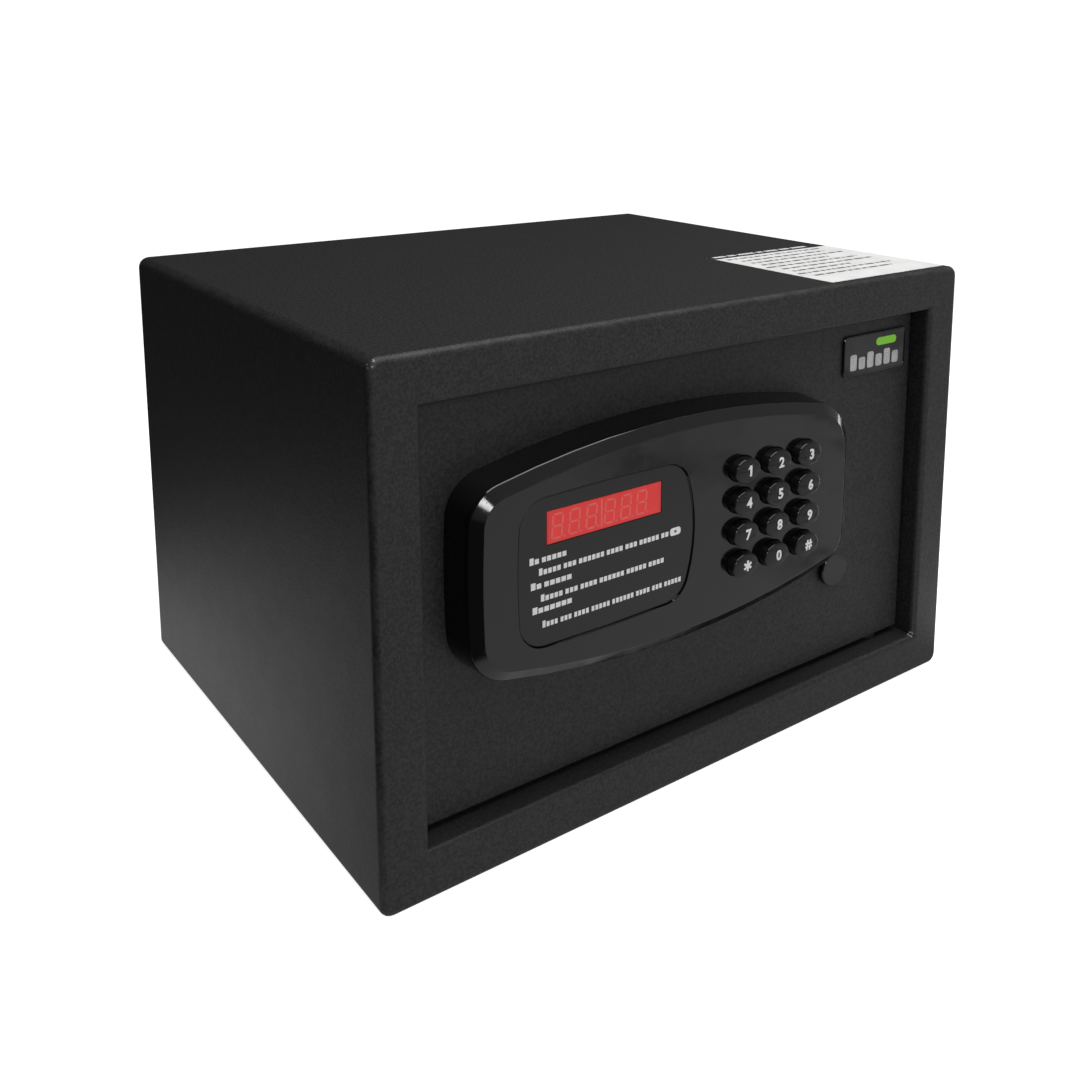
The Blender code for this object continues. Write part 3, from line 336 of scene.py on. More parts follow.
def led_segment():
    s = Shader("led_segment")
    s.set("Base Color", s.mix(s.span(s.noise(1.5 * MM), 0.3, 0.7), (0.7, 0.1, 0.09), (0.74, 0.13, 0.11)))
    s.set("Roughness", 0.4)
    # Painted glow: the unlit segments shine faintly by themselves.
    s.set("Emission Color", (1.0, 0.2, 0.16, 1.0))
    s.set("Emission Strength", 0.05)
    return s.material


def printed(name, colour, worn=0.08):
    """Screen-printed ink, with slightly uneven cover."""
    s = Shader(name)
    thin = s.math("MULTIPLY", s.span(s.noise(0.25 * MM, detail=2.0), 0.45, 0.75), worn)
    s.set("Base Color", s.mix(thin, colour, tuple(0.6 * c for c in colour)))
    s.set("Roughness", s.span(s.noise(0.8 * MM), 0.3, 0.7, 0.4, 0.55))
    return s.material


def label_paper():
    """A white laminated label with a few shallow wrinkles and grubby edges."""
    s = Shader("label_paper")
    x, y, _ = s.axes()
    from_x = s.math("MINIMUM", s.math("SUBTRACT", x, LABEL_LOW.x), s.math("SUBTRACT", LABEL_HIGH.x, x))
    from_y = s.math("MINIMUM", s.math("SUBTRACT", y, LABEL_LOW.y), s.math("SUBTRACT", LABEL_HIGH.y, y))
    border = s.span(s.math("MINIMUM", from_x, from_y), 1.2 * MM, 0.0)
    grime = s.math("MULTIPLY", border, s.span(s.noise(5 * MM, detail=4.0), 0.35, 0.65, 0.1, 0.6))
    s.set("Base Color", s.mix(grime, (0.97, 0.97, 0.96), (0.5, 0.49, 0.47)))
    s.set("Roughness", s.span(s.noise(12 * MM, detail=2.0), 0.3, 0.7, 0.28, 0.42))
    s.bump(s.noise(18 * MM, detail=2.0, stretch=(1.0, 0.4, 1.0)), 0.12 * MM)
    return s.material


def metal(name, colour, roughness, brushed=None, spangle=0.0):
    """Bare or plated metal. brushed stretches its grain along the axes with a small scale."""
    s = Shader(name, colour, roughness, 1.0)
    streaks = s.noise(0.5 * MM, detail=3.0, stretch=brushed or (1.0, 1.0, 1.0))
    blotches = s.noise(7 * MM, detail=3.0)
    dull = tuple(0.72 * c for c in colour)
    share = s.math("MULTIPLY", s.span(blotches, 0.4, 0.7), 0.6)
    if spangle:
        share = s.math("ADD", share, s.math("MULTIPLY", s.span(s.cells(3 * MM), 0.1, 0.6), spangle), clamp=True)
    s.set("Base Color", s.mix(share, colour, dull))
    s.set("Roughness", s.span(streaks, 0.3, 0.7, roughness - 0.06, roughness + 0.08))
    s.bump(streaks, 0.006 * MM)
    return s.material


def faced_brass():
    """Turned brass with a blackened front end."""
    s = Shader("blackened_brass", metallic=1.0)
    low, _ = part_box("lock_cylinder")
    _, y, _ = s.axes()
    black = s.span(y, low.y + 3.2 * MM, low.y + 2.8 * MM)
    colour = s.mix(s.noise(4 * MM, detail=3.0), (0.66, 0.46, 0.16), (0.5, 0.34, 0.12))
    s.set("Base Color", s.mix(black, colour, (0.014, 0.014, 0.014)))
    s.set("Roughness", s.span(s.noise(0.5 * MM, detail=3.0), 0.3, 0.7, 0.26, 0.4))
    return s.material


def matte_plastic(name, colour, roughness=0.55):
    s = Shader(name)
    grain = s.noise(0.5 * MM, detail=3.0)
    lighter = tuple(min(1.0, 1.35 * c) for c in colour)
    s.set("Base Color", s.mix(s.span(grain, 0.35, 0.7), colour, lighter))
    s.set("Roughness", s.span(s.noise(8 * MM, detail=3.0), 0.3, 0.7, roughness - 0.07, roughness + 0.07))
    s.bump(grain, 0.03 * MM)
    return s.material


def circuit_board():
    """Green solder mask over copper tracks, which show as slightly lighter bands."""
    s = Shader("circuit_board_mask")
    tracks = s.add("ShaderNodeTexBrick", offset=0.5)
    s.fill(tracks.inputs["Vector"], s.place)
    tracks.inputs["Scale"].default_value = 120.0
    tracks.inputs["Color1"].default_value = (0.012, 0.10, 0.035, 1.0)
    tracks.inputs["Color2"].default_value = (0.016, 0.13, 0.045, 1.0)
    tracks.inputs["Mortar"].default_value = (0.03, 0.2, 0.08, 1.0)
    s.set("Base Color", tracks.outputs["Color"])
    s.set("Roughness", s.span(s.noise(4 * MM), 0.3, 0.7, 0.25, 0.35))
    return s.material


def battery_jacket():
    """A dark shrink jacket with a copper-coloured band, and bare metal at both ends."""
    s = Shader("battery_jacket")
    low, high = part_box("battery_1")
    _, _, z = s.axes()
    band = s.span(z, high.z - 16 * MM, high.z - 15.6 * MM)
    bare_top = s.span(z, high.z - 1.6 * MM, high.z - 1.3 * MM)
    bare_bottom = s.span(z, low.z + 1.6 * MM, low.z + 1.3 * MM)
    bare = s.math("MAXIMUM", bare_top, bare_bottom)
    scuffs = s.math("MULTIPLY", s.span(s.noise(2 * MM, detail=4.0), 0.55, 0.7), 0.2)
    colour = s.mix(band, (0.012, 0.013, 0.016), (0.42, 0.2, 0.07))
    colour = s.mix(scuffs, colour, (0.2, 0.2, 0.2))
    s.set("Base Color", s.mix(bare, colour, (0.6, 0.6, 0.6)))
    s.set("Metallic", s.math("MAXIMUM", bare, s.math("MULTIPLY", band, 0.7)))
    s.set("Roughness", s.span(s.noise(3 * MM), 0.3, 0.7, 0.28, 0.4))
    return s.material


def felt():
    """Needle felt: matted fibres of several greys, with a soft sheen."""
    s = Shader("needle_felt", roughness=0.95)
    fibres = s.noise(0.8 * MM, detail=6.0, stretch=(1.0, 0.35, 1.0), rough=0.7)
    tufts = s.noise(5 * MM, detail=4.0, rough=0.6)
    colour = s.mix(s.span(fibres, 0.3, 0.7), (0.022, 0.023, 0.026), (0.075, 0.077, 0.085))
    s.set("Base Color", s.mix(s.math("MULTIPLY", s.span(tufts, 0.4, 0.7), 0.4), colour, (0.045, 0.046, 0.05)))
    s.set("Sheen Weight", 0.35)
    s.set("Sheen Roughness", 0.5)
    fine = s.bump(fibres, 0.35 * MM)
    s.bump(tufts, 0.5 * MM, under=fine)
    return s.material


# ---------------------------------------------------------------- mesh tools


def new_piece(name, mesh, material, body):
    """Puts a mesh in the scene as a piece that rides on a body."""
    piece = bpy.data.objects.new(name, mesh)
    bpy.context.scene.collection.objects.link(piece)
    mesh.materials.clear()
    mesh.materials.append(material)
    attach(piece, body)
    return piece


def from_bmesh(name, bm, smooth_under=35):
    """A mesh whose faces are shaded smooth, apart from edges sharper than an angle in degrees."""
    bmesh.ops.recalc_face_normals(bm, faces=bm.faces)
    mesh = bpy.data.meshes.new(name)
    bm.to_mesh(mesh)
    bm.free()
    mesh.shade_smooth()
    mesh.set_sharp_from_angle(angle=math.radians(smooth_under))
    return mesh


def smoothed(node, material, edge=0.0, smooth_under=35):
    """Stands in for a CAD node: the same shape, welded and shaded smooth, its sharp edges broken by a bevel."""
    bm = bmesh.new()
    bm.from_mesh(NODES[node].data)
    bmesh.ops.remove_doubles(bm, verts=bm.verts, dist=0.002 * MM)
    bmesh.ops.dissolve_limit(bm, angle_limit=math.radians(0.5), verts=bm.verts, edges=bm.edges)
    mesh = from_bmesh(f"{node}_finished", bm, smooth_under)
    piece = new_piece(f"{node}_finished", mesh, material, BODY_OF[node])
    if edge:
        bevel = piece.modifiers.new("broken_edges", "BEVEL")
        bevel.width = edge
        bevel.segments = 2
        bevel.limit_method = "ANGLE"
        bevel.angle_limit = math.radians(40)
        bevel.use_clamp_overlap = True
    normals = piece.modifiers.new("even_normals", "WEIGHTED_NORMAL")
    normals.keep_sharp = True
    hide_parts(node)
    return piece


def ring_solid(name, rings, smooth_under=35):
    """A closed solid through rings of equally many points, capped at both ends."""
    bm = bmesh.new()
    rows = [[bm.verts.new(point) for point in ring] for ring in rings]
    count = len(rows[0])
    for row, following in zip(rows, rows[1:]):
        for i in range(count):
            j = (i + 1) % count
            bm.faces.new((row[i], row[j], following[j], following[i]))
    bm.faces.new(rows[0])
    bm.faces.new(list(reversed(rows[-1])))
    return from_bmesh(name, bm, smooth_under)


def rounded_rectangle(low, high, radius, steps=6):
    """Corner by corner, counter-clockwise, in the plane of the two given coordinates."""
    points = []
    centres = (
        (high[0] - radius, high[1] - radius),
        (low[0] + radius, high[1] - radius),
        (low[0] + radius, low[1] + radius),
        (high[0] - radius, low[1] + radius),
    )
    for quarter, (x, z) in enumerate(centres):
        for i in range(steps + 1):
            t = math.pi / 2 * (quarter + i / steps)
            points.append((x + radius * math.cos(t), z + radius * math.sin(t)))
    return points


def flat_print(name, outlines, face_y, material, body):
    """Thin ink on a face that looks towards -Y. Each outline is a list of (x, z) points."""
    bm = bmesh.new()
    for number, outline in enumerate(outlines):
        front_y = face_y - INK * (0.9 if number % 2 else 1.0)  # so that crossing bars do not share a plane
        front = [bm.verts.new((x, front_y, z)) for x, z in outline]
        back = [bm.verts.new((x, face_y + INK, z)) for x, z in outline]
        bm.faces.new(front)
        bm.faces.new(list(reversed(back)))
        for i in range(len(outline)):
            j = (i + 1) % len(outline)
            bm.faces.new((front[i], front[j], back[j], back[i]))
    return new_piece(name, from_bmesh(name, bm), material, body)


def figure_mesh(name, text, height, weight=0.0):
    """A figure as a mesh in the X-Y plane, as tall as the given height."""
    curve = bpy.data.curves.new(name, "FONT")
    curve.body = text
    curve.size = height / CAPITAL_SHARE
    curve.extrude = INK
    curve.offset = weight * height
    curve.resolution_u = 3
    drawn = bpy.data.objects.new(name, curve)
    bpy.context.scene.collection.objects.link(drawn)
    bpy.context.view_layer.update()
    mesh = bpy.data.meshes.new_from_object(drawn.evaluated_get(bpy.context.evaluated_depsgraph_get()))
    mesh.name = name
    bpy.data.objects.remove(drawn)
    return mesh


def corners(mesh):
    xs = [v.co.x for v in mesh.vertices]
    ys = [v.co.y for v in mesh.vertices]
    return (min(xs), min(ys)), (max(xs), max(ys))


def bar(start, end, width):
    """A plain bar from start to end, as an outline of four points."""
    start, end = Vector(start), Vector(end)
    along = (end - start).normalized()
    aside = Vector((-along.y, along.x)) * width / 2
    return [tuple(p) for p in (start + aside, end + aside, end - aside, start - aside)]


def letter_blocks(x, end, z, words):
    """Rows of small blocks in place of printed letters, the first one taller, with gaps between the words."""
    letters = sum(words)
    room = end - x - WORD_GAP * (len(words) - 1) - LETTER_GAP * (letters - len(words))
    width = room / letters
    outlines = []
    for word in words:
        for _ in range(word):
            tall = LETTER_LOW if outlines else LETTER_TALL
            outlines.append([(x, z), (x + width, z), (x + width, z + tall), (x, z + tall)])
            x += width + LETTER_GAP
        x += WORD_GAP - LETTER_GAP
    return outlines


# ---------------------------------------------------------------- keys


def make_key(label, sign):
    """A finely rounded oval cap with its sign printed in the middle of the face."""
    node = f"key_{label}"
    low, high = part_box(node)
    middle = (low + high) / 2
    flange = KEY_FLANGE
    half_x, half_z = (high.x - low.x) / 2 - flange, (high.z - low.z) / 2 - flange
    face = low.y + 2 * INK
    brow = face + KEY_DOME

    def oval(inset, y):
        wide, tall = half_x - inset, half_z - inset
        return [(middle.x + wide * math.cos(t), y, middle.z + tall * math.sin(t)) for t in ROUND]

    rings = [oval(-flange, high.y), oval(-flange, high.y - FLANGE_THICK), oval(0, high.y - FLANGE_THICK)]
    for i in range(KEY_EDGE_STEPS + 1):
        t = KEY_EDGE_TURN * i / KEY_EDGE_STEPS
        rings.append(oval(KEY_ROUNDING * (1 - math.cos(t)), brow + KEY_ROUNDING * (1 - math.sin(t))))
    edge = KEY_ROUNDING * (1 - math.cos(KEY_EDGE_TURN))
    rise = brow + KEY_ROUNDING * (1 - math.sin(KEY_EDGE_TURN)) - face
    wide, tall = half_x - edge, half_z - edge

    def dome(x, z):
        return face + rise * ((x / wide) ** 2 + (z / tall) ** 2)

    for i in range(KEY_DOME_STEPS - 1, 0, -1):
        share = i / KEY_DOME_STEPS
        ring = [(share * wide * math.cos(t), share * tall * math.sin(t)) for t in ROUND]
        rings.append([(middle.x + x, dome(x, z), middle.z + z) for x, z in ring])
    mesh = ring_solid(f"{node}_cap", rings, smooth_under=50)
    cap = new_piece(f"{node}_cap", mesh, FINISHES["key_black"], BODY_OF[node])
    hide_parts(node)

    centre_x = middle.x + SIGN_ASIDE

    def on_dome(piece):
        """Cuts the ink finely and lays it on the cap's dome."""
        bm = bmesh.new()
        bm.from_mesh(piece.data)
        bmesh.ops.triangulate(bm, faces=bm.faces)
        for _ in range(3):
            long_edges = [edge for edge in bm.edges if edge.calc_length() > INK_STEP]
            bmesh.ops.subdivide_edges(bm, edges=long_edges, cuts=1)
            bmesh.ops.triangulate(bm, faces=bm.faces)
        for vertex in bm.verts:
            vertex.co.y += dome(vertex.co.x - middle.x, vertex.co.z - middle.z) - face
        bm.to_mesh(piece.data)
        bm.free()

    if sign in DRAWN_SIGNS:
        outlines = [[(centre_x + x, middle.z + z) for x, z in outline] for outline in DRAWN_SIGNS[sign]]
        on_dome(flat_print(f"{node}_legend", outlines, face, WHITE_INK, BODY_OF[node]))
        return
    legend = figure_mesh(f"{node}_legend", sign, SIGN_HEIGHT, weight=SIGN_WEIGHT)
    lowest, highest = corners(legend)
    scale = SIGN_HEIGHT / (highest[1] - lowest[1])
    centre = Vector(((lowest[0] + highest[0]) / 2, (lowest[1] + highest[1]) / 2, 0))
    place = Matrix.Translation((centre_x, face - INK, middle.z)) @ FACING_FRONT
    legend.transform(place @ Matrix.Diagonal((scale, scale, 1, 1)) @ Matrix.Translation(-centre))
    on_dome(new_piece(f"{node}_legend", legend, WHITE_INK, BODY_OF[node]))


def drawn_signs():
    """The figure one, the star and the hash as bars round the origin, heavier than the font draws them."""
    half, stroke = SIGN_HEIGHT / 2, SIGN_STROKE
    one = [
        bar((0.45 * MM, -half), (0.45 * MM, half), stroke * 1.1),
        [(-1.5 * MM, half - 1.9 * MM), (-0.2 * MM, half - 1.5 * MM), (0.45 * MM, half), (-0.2 * MM, half)],
    ]
    star = []
    for i in range(6):
        t = math.pi * (1 / 2 + i / 3)
        along, aside = Vector((math.cos(t), math.sin(t))), Vector((-math.sin(t), math.cos(t))) * stroke / 2
        notch = Vector((math.cos(t + math.pi / 6), math.sin(t + math.pi / 6))) * stroke
        star += [tuple(along * half - aside), tuple(along * half + aside), tuple(notch)]
    lean, wide, tall = 0.35 * MM, 2.3 * MM, half
    grid = [bar((x - lean, -tall), (x + lean, tall), stroke * 0.9) for x in (-0.95 * MM, 0.95 * MM)]
    grid += [bar((-wide, z), (wide, z), stroke * 0.85) for z in (-0.85 * MM, 0.85 * MM)]
    return {"1": one, "star": [star], "hash": grid}


# ---------------------------------------------------------------- display and window print


def segment(start, end, width):
    """A bar with pointed ends, from start to end, as an outline of six points."""
    start, end = Vector(start), Vector(end)
    along = (end - start).normalized() * width / 2
    aside = Vector((-along.y, along.x))
    points = [start, start + along + aside, end - along + aside]
    points += [end, end - along - aside, start + along - aside]
    return [tuple(p) for p in points]


def make_digits():
    """Six unlit seven-segment figures and the bar between them, which show through the red filter."""
    outlines = []
    tall, wide = DIGIT_HEIGHT, DIGIT_WIDTH
    middle_z = (FILTER_LOW.z + FILTER_HIGH.z) / 2
    gap = SEGMENT_WIDTH * 0.35
    for place in DIGIT_PLACES:
        left = FILTER_LOW.x + place

        def at(x, z):
            """A place on the digit, which leans over a little."""
            return left + x + (z - tall / 2) * DIGIT_LEAN, middle_z - tall / 2 + z

        for z in (0.0, tall / 2, tall):
            outlines.append(segment(at(gap, z), at(wide - gap, z), SEGMENT_WIDTH))
        for x in (0.0, wide):
            for z in (0.0, tall / 2):
                outlines.append(segment(at(x, z + gap), at(x, z + tall / 2 - gap), SEGMENT_WIDTH))
        x, z = at(wide + 1.4 * MM, 0.0)
        outlines.append([(x + 0.5 * MM * math.cos(t), z + 0.5 * MM * math.sin(t)) for t in OCTAGON])
    x = FILTER_LOW.x + DIGIT_BAR
    outlines.append(bar((x, FILTER_LOW.z + 1.0 * MM), (x, FILTER_HIGH.z - 1.0 * MM), 0.9 * MM))
    flat_print("display_segments", outlines, FILTER_LOW.y, SEGMENT_GLOW, "door")


def make_window_print():
    """Six lines of blocks in place of the printed words, and a small rounded key symbol after the second."""
    outlines = []
    for z, (indent, length, words) in zip(LINE_HEIGHTS, WINDOW_LINES):
        x = LINE_START_X + indent
        outlines += letter_blocks(x, x + length, z, words)
    flat_print("window_lines", outlines, WINDOW_LOW.y, WHITE_INK, "door")
    low = (KEY_SYMBOL_X, LINE_HEIGHTS[1] - 0.5 * MM)
    high = (low[0] + 6.2 * MM, low[1] + 3.6 * MM)
    cap = rounded_rectangle(low, high, 1.4 * MM, steps=4)
    flat_print("window_key_symbol", [cap], WINDOW_LOW.y, WHITE_INK, "door")
    inset = (2.4 * MM, 1.3 * MM)
    mark_low = (low[0] + inset[0], low[1] + inset[1])
    mark_high = (high[0] - inset[0], high[1] - inset[1])
    mark = rounded_rectangle(mark_low, mark_high, 0.4 * MM, 3)
    flat_print("window_key_mark", [mark], WINDOW_LOW.y - INK / 2, DARK_INK, "door")


# ---------------------------------------------------------------- nameplate and label


def make_nameplate():
    """A plate without lettering: plain silver blocks and a green bar inside a raised rim."""
    low, high = (PLATE_LOW.x, PLATE_LOW.z), (PLATE_HIGH.x, PLATE_HIGH.z)
    rim_out = rounded_rectangle(low, high, 3.0 * MM, steps=8)
    face = PLATE_LOW.y

    def ring(inset, y):
        inner = rounded_rectangle(
            (low[0] + inset, low[1] + inset), (high[0] - inset, high[1] - inset), 3.0 * MM - inset, steps=8
        )
        return [(x, y, z) for x, z in inner]

    back = [(x, PLATE_HIGH.y, z) for x, z in rim_out]
    plate = ring_solid("nameplate_body", [back, ring(0, face + 0.4 * MM), ring(0.3 * MM, face + 0.15 * MM)])
    piece = new_piece("nameplate_body", plate, FINISHES["gloss_black"], "door")
    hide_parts("nameplate")

    bm = bmesh.new()
    sections = [
        ring(0.5 * MM, face + 0.2 * MM),
        ring(0.7 * MM, face),
        ring(1.1 * MM, face),
        ring(1.3 * MM, face + 0.2 * MM),
    ]
    rows = [[bm.verts.new(point) for point in section] for section in sections]
    count = len(rows[0])
    for k, row in enumerate(rows):
        following = rows[(k + 1) % len(rows)]
        for i in range(count):
            j = (i + 1) % count
            bm.faces.new((row[i], row[j], following[j], following[i]))
    new_piece("nameplate_rim", from_bmesh("nameplate_rim", bm), FINISHES["gloss_black"], "door")

    printed_y = face + 0.15 * MM
    blocks = []
    for i in range(BADGE_BLOCKS):
        x = low[0] + (5.0 + 6.6 * i) * MM
        tall = (6.5 if i % 2 else 8.5) * MM
        block_low, block_high = (x, low[1] + 3.4 * MM), (x + 5.0 * MM, low[1] + 3.4 * MM + tall)
        blocks.append(rounded_rectangle(block_low, block_high, 1.2 * MM, steps=4))
    flat_print("nameplate_blocks", blocks, printed_y, SILVER, "door")
    bar_low = (high[0] - 24 * MM, high[1] - 7.6 * MM)
    bar_high = (high[0] - 8 * MM, high[1] - 3.4 * MM)
    green = rounded_rectangle(bar_low, bar_high, 2.0 * MM, steps=6)
    flat_print("nameplate_green_bar", [green], printed_y, GREEN_INK, "door")


def make_label():
    """The label on the top: a dark header with pale bars, and grey bars in place of each printed word."""
    sheet_low = (LABEL_LOW.x, LABEL_LOW.y)
    sheet_high = (LABEL_HIGH.x, LABEL_HIGH.y)
    top = LABEL_HIGH.z - 2 * INK
    rings = [
        [(x, y, z) for x, y in rounded_rectangle(sheet_low, sheet_high, 1.5 * MM)]
        for z in (LABEL_LOW.z, top)
    ]
    sheet = new_piece("label_sheet", ring_solid("label_sheet", rings), FINISHES["label"], "cabinet")
    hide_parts("instruction_label")
    header_low = (sheet_low[0], sheet_high[1] - HEADER_DEPTH)
    bars_on_top("label_header", [(header_low, sheet_high)], top, DARK_INK)

    rng = random.Random(7)
    words = []
    for line, (indent, share) in enumerate(LABEL_LINES):
        y = header_low[1] - LABEL_MARGIN - line * LABEL_LINE_PITCH
        x = sheet_low[0] + LABEL_MARGIN + indent
        end = sheet_low[0] + LABEL_MARGIN + share * (sheet_high[0] - sheet_low[0] - 2 * LABEL_MARGIN)
        while x < end:
            length = rng.uniform(2.0, 8.0) * MM
            words.append(((x, y - LABEL_TEXT), (min(x + length, end), y)))
            x += length + 1.4 * MM
    bars_on_top("label_words", words, top, GREY_INK)
    heading = []
    x = header_low[0] + 3 * MM
    for length in (9, 6, 13, 5, 10, 8, 12):
        heading.append(((x, header_low[1] + 3.4 * MM), (x + length * MM, header_low[1] + 6.6 * MM)))
        x += (length + 1.8) * MM
    bars_on_top("label_heading", heading, top + 0.8 * INK, WHITE_INK)


def bars_on_top(name, bars, z, material):
    bm = bmesh.new()
    for low, high in bars:
        size = (high[0] - low[0], high[1] - low[1], INK)
        middle = ((low[0] + high[0]) / 2, (low[1] + high[1]) / 2, z)
        bmesh.ops.create_cube(bm, matrix=Matrix.Translation(middle) @ Matrix.Diagonal((*size, 1.0)))
    return new_piece(name, from_bmesh(name, bm), material, "cabinet")


# ---------------------------------------------------------------- inside


def make_floor_mat():
    """The loose felt sheet: slightly wavy, with soft uneven edges."""
    bm = bmesh.new()
    columns, rows = 84, 58
    inset = 1.0 * MM
    width, depth = MAT_HIGH.x - MAT_LOW.x - 2 * inset, MAT_HIGH.y - MAT_LOW.y - 2 * inset
    sides = []
    for z in (MAT_LOW.z, MAT_HIGH.z - 0.9 * MM):
        grid = []
        for j in range(rows + 1):
            line = []
            for i in range(columns + 1):
                u, v = i / columns, j / rows
                x = MAT_LOW.x + inset + u * width
                y = MAT_LOW.y + inset + v * depth
                point = Vector((x, y, 0)) * 60
                ragged = 0.5 * MM * math.sin(3.1 * point.x + 2.3 * point.y)
                rim = min(u, 1 - u) * width + min(v, 1 - v) * depth
                x += ragged * (i in (0, columns))
                y += ragged * (j in (0, rows))
                lift = 0.45 * MM * (1 + math.sin(point.x * 0.9) * math.cos(point.y * 1.3))
                rounding = 1.0 * MM * math.exp(-min(min(u, 1 - u) * width, min(v, 1 - v) * depth) / (1.5 * MM))
                top = z > MAT_LOW.z
                line.append(bm.verts.new((x, y, z + (lift - rounding) * top)))
            grid.append(line)
        sides.append(grid)
    for grid, up in zip(sides, (False, True)):
        for j in range(rows):
            for i in range(columns):
                face = [grid[j][i], grid[j][i + 1], grid[j + 1][i + 1], grid[j + 1][i]]
                bm.faces.new(face if up else list(reversed(face)))
    lower, upper = sides
    border = [(0, i) for i in range(columns)] + [(j, columns) for j in range(rows)]
    border += [(rows, i) for i in range(columns, 0, -1)] + [(j, 0) for j in range(rows, 0, -1)]
    for (a, b), (c, d) in zip(border, border[1:] + border[:1]):
        bm.faces.new((lower[a][b], lower[c][d], upper[c][d], upper[a][b]))
    mat = new_piece("felt_mat", from_bmesh("felt_mat", bm, 60), FINISHES["felt"], "cabinet")
    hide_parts("floor_mat")


def make_battery_contacts():
    """A conical spring at one end of each cell."""
    tray_low, tray_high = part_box("battery_box")
    for number in range(1, 5):
        low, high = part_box(f"battery_{number}")
        middle = (low + high) / 2
        spring_at_top = number % 2 == 0
        wall = tray_high.z - 1.7 * MM if not spring_at_top else tray_low.z + 1.7 * MM
        end = high.z if not spring_at_top else low.z
        way = -1 if not spring_at_top else 1
        points = []
        for i in range(SPRING_TURNS * 14 + 1):
            share = i / (SPRING_TURNS * 14)
            t = 2 * math.pi * SPRING_TURNS * share
            r = (4.2 - 1.6 * share) * MM
            z = wall + (end - way * 0.3 * MM - wall) * share
            points.append((middle.x + r * math.cos(t), middle.y + r * math.sin(t), z))
        curve = bpy.data.curves.new(f"contact_spring_{number}", "CURVE")
        curve.dimensions = "3D"
        curve.bevel_depth = 0.35 * MM
        curve.bevel_resolution = 2
        curve.use_fill_caps = True
        spline = curve.splines.new("POLY")
        spline.points.add(len(points) - 1)
        for place, point in zip(spline.points, points):
            place.co = (*point, 1.0)
        curve.materials.append(FINISHES["zinc"])
        spring = bpy.data.objects.new(f"contact_spring_{number}", curve)
        bpy.context.scene.collection.objects.link(spring)
        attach(spring, "door")


# ---------------------------------------------------------------- finishes

WHITE_INK = printed("white_ink", (0.78, 0.78, 0.78))
DARK_INK = printed("dark_ink", (0.012, 0.012, 0.013))
GREY_INK = printed("grey_ink", (0.16, 0.16, 0.165))
GREEN_INK = printed("green_ink", (0.26, 0.7, 0.04))
SEGMENT_GLOW = led_segment()
SILVER = metal("silver_rim", (0.62, 0.62, 0.62), 0.28)

FINISHES = {
    "powder_coat": powder_coat(),
    "gloss_black": gloss_plastic("gloss_black_moulding", (0.003, 0.003, 0.0032)),
    "key_black": key_plastic(),
    "smoked_window": smoked_window(),
    "red_filter": red_filter(),
    "matte_black": matte_plastic("matte_black_plastic", (0.016, 0.016, 0.017)),
    "silicone": matte_plastic("grey_silicone", (0.028, 0.028, 0.03), roughness=0.6),
    "black_rubber": matte_plastic("black_rubber", (0.012, 0.012, 0.012), roughness=0.7),
    "board": circuit_board(),
    "zinc": metal("zinc_plate", (0.52, 0.53, 0.55), 0.38, spangle=0.5),
    "steel": metal("ground_steel", (0.5, 0.5, 0.5), 0.3, brushed=(1.0, 1.0, 0.1)),
    "chrome": metal("satin_chrome", (0.66, 0.66, 0.67), 0.2, brushed=(0.1, 1.0, 1.0)),
    "brass": metal("turned_brass", (0.66, 0.46, 0.16), 0.3),
    "nylon": matte_plastic("black_nylon", (0.014, 0.014, 0.014)),
    "felt": felt(),
    "label": label_paper(),
    "cell": battery_jacket(),
    "red_button": matte_plastic("red_button_plastic", (0.45, 0.02, 0.015), roughness=0.4),
}
INNER_COAT = powder_coat("powder_coat_inside", edges=False)
DRAWN_SIGNS = drawn_signs()
for node, shown in NODES.items():
    shown.data.materials.clear()
    shown.data.materials.append(INNER_COAT if SLOT_OF[node] == "powder_coat" else FINISHES[SLOT_OF[node]])
NODES["body_shell"].data.materials[0] = FINISHES["powder_coat"]
NODES["lock_cylinder"].data.materials[0] = faced_brass()


# ---------------------------------------------------------------- camera, light and floor


def aim(thing, place, target):
    thing.location = place
    thing.rotation_euler = (Vector(target) - Vector(place)).to_track_quat("-Z", "Y").to_euler()


def make_camera():
    """At the photograph's viewing angle: 37 degrees to the left of the front, looking down by 10."""
    camera = bpy.data.cameras.new("camera")
    camera.sensor_width = 36.0
    camera.lens = CAMERA_LENS
    camera.shift_x, camera.shift_y = CAMERA_SHIFT
    seen = bpy.data.objects.new("camera", camera)
    bpy.context.scene.collection.objects.link(seen)
    seen.rotation_mode = "XYZ"
    seen.location = CAMERA_PLACE
    turn = Matrix.Rotation(math.radians(CAMERA_YAW), 4, "Z")
    turn = turn @ Matrix.Rotation(math.radians(CAMERA_TILT), 4, "X")
    turn = turn @ Matrix.Rotation(math.radians(CAMERA_ROLL), 4, "Z")
    seen.rotation_euler = turn.to_euler()
    bpy.context.scene.camera = seen


def make_light(name, place, target, size, power, shape="RECTANGLE"):
    light = bpy.data.lights.new(name, "AREA")
    light.shape = shape
    light.size, light.size_y = size
    light.energy = power
    lamp = bpy.data.objects.new(name, light)
    bpy.context.scene.collection.objects.link(lamp)
    aim(lamp, place, target)
    return lamp


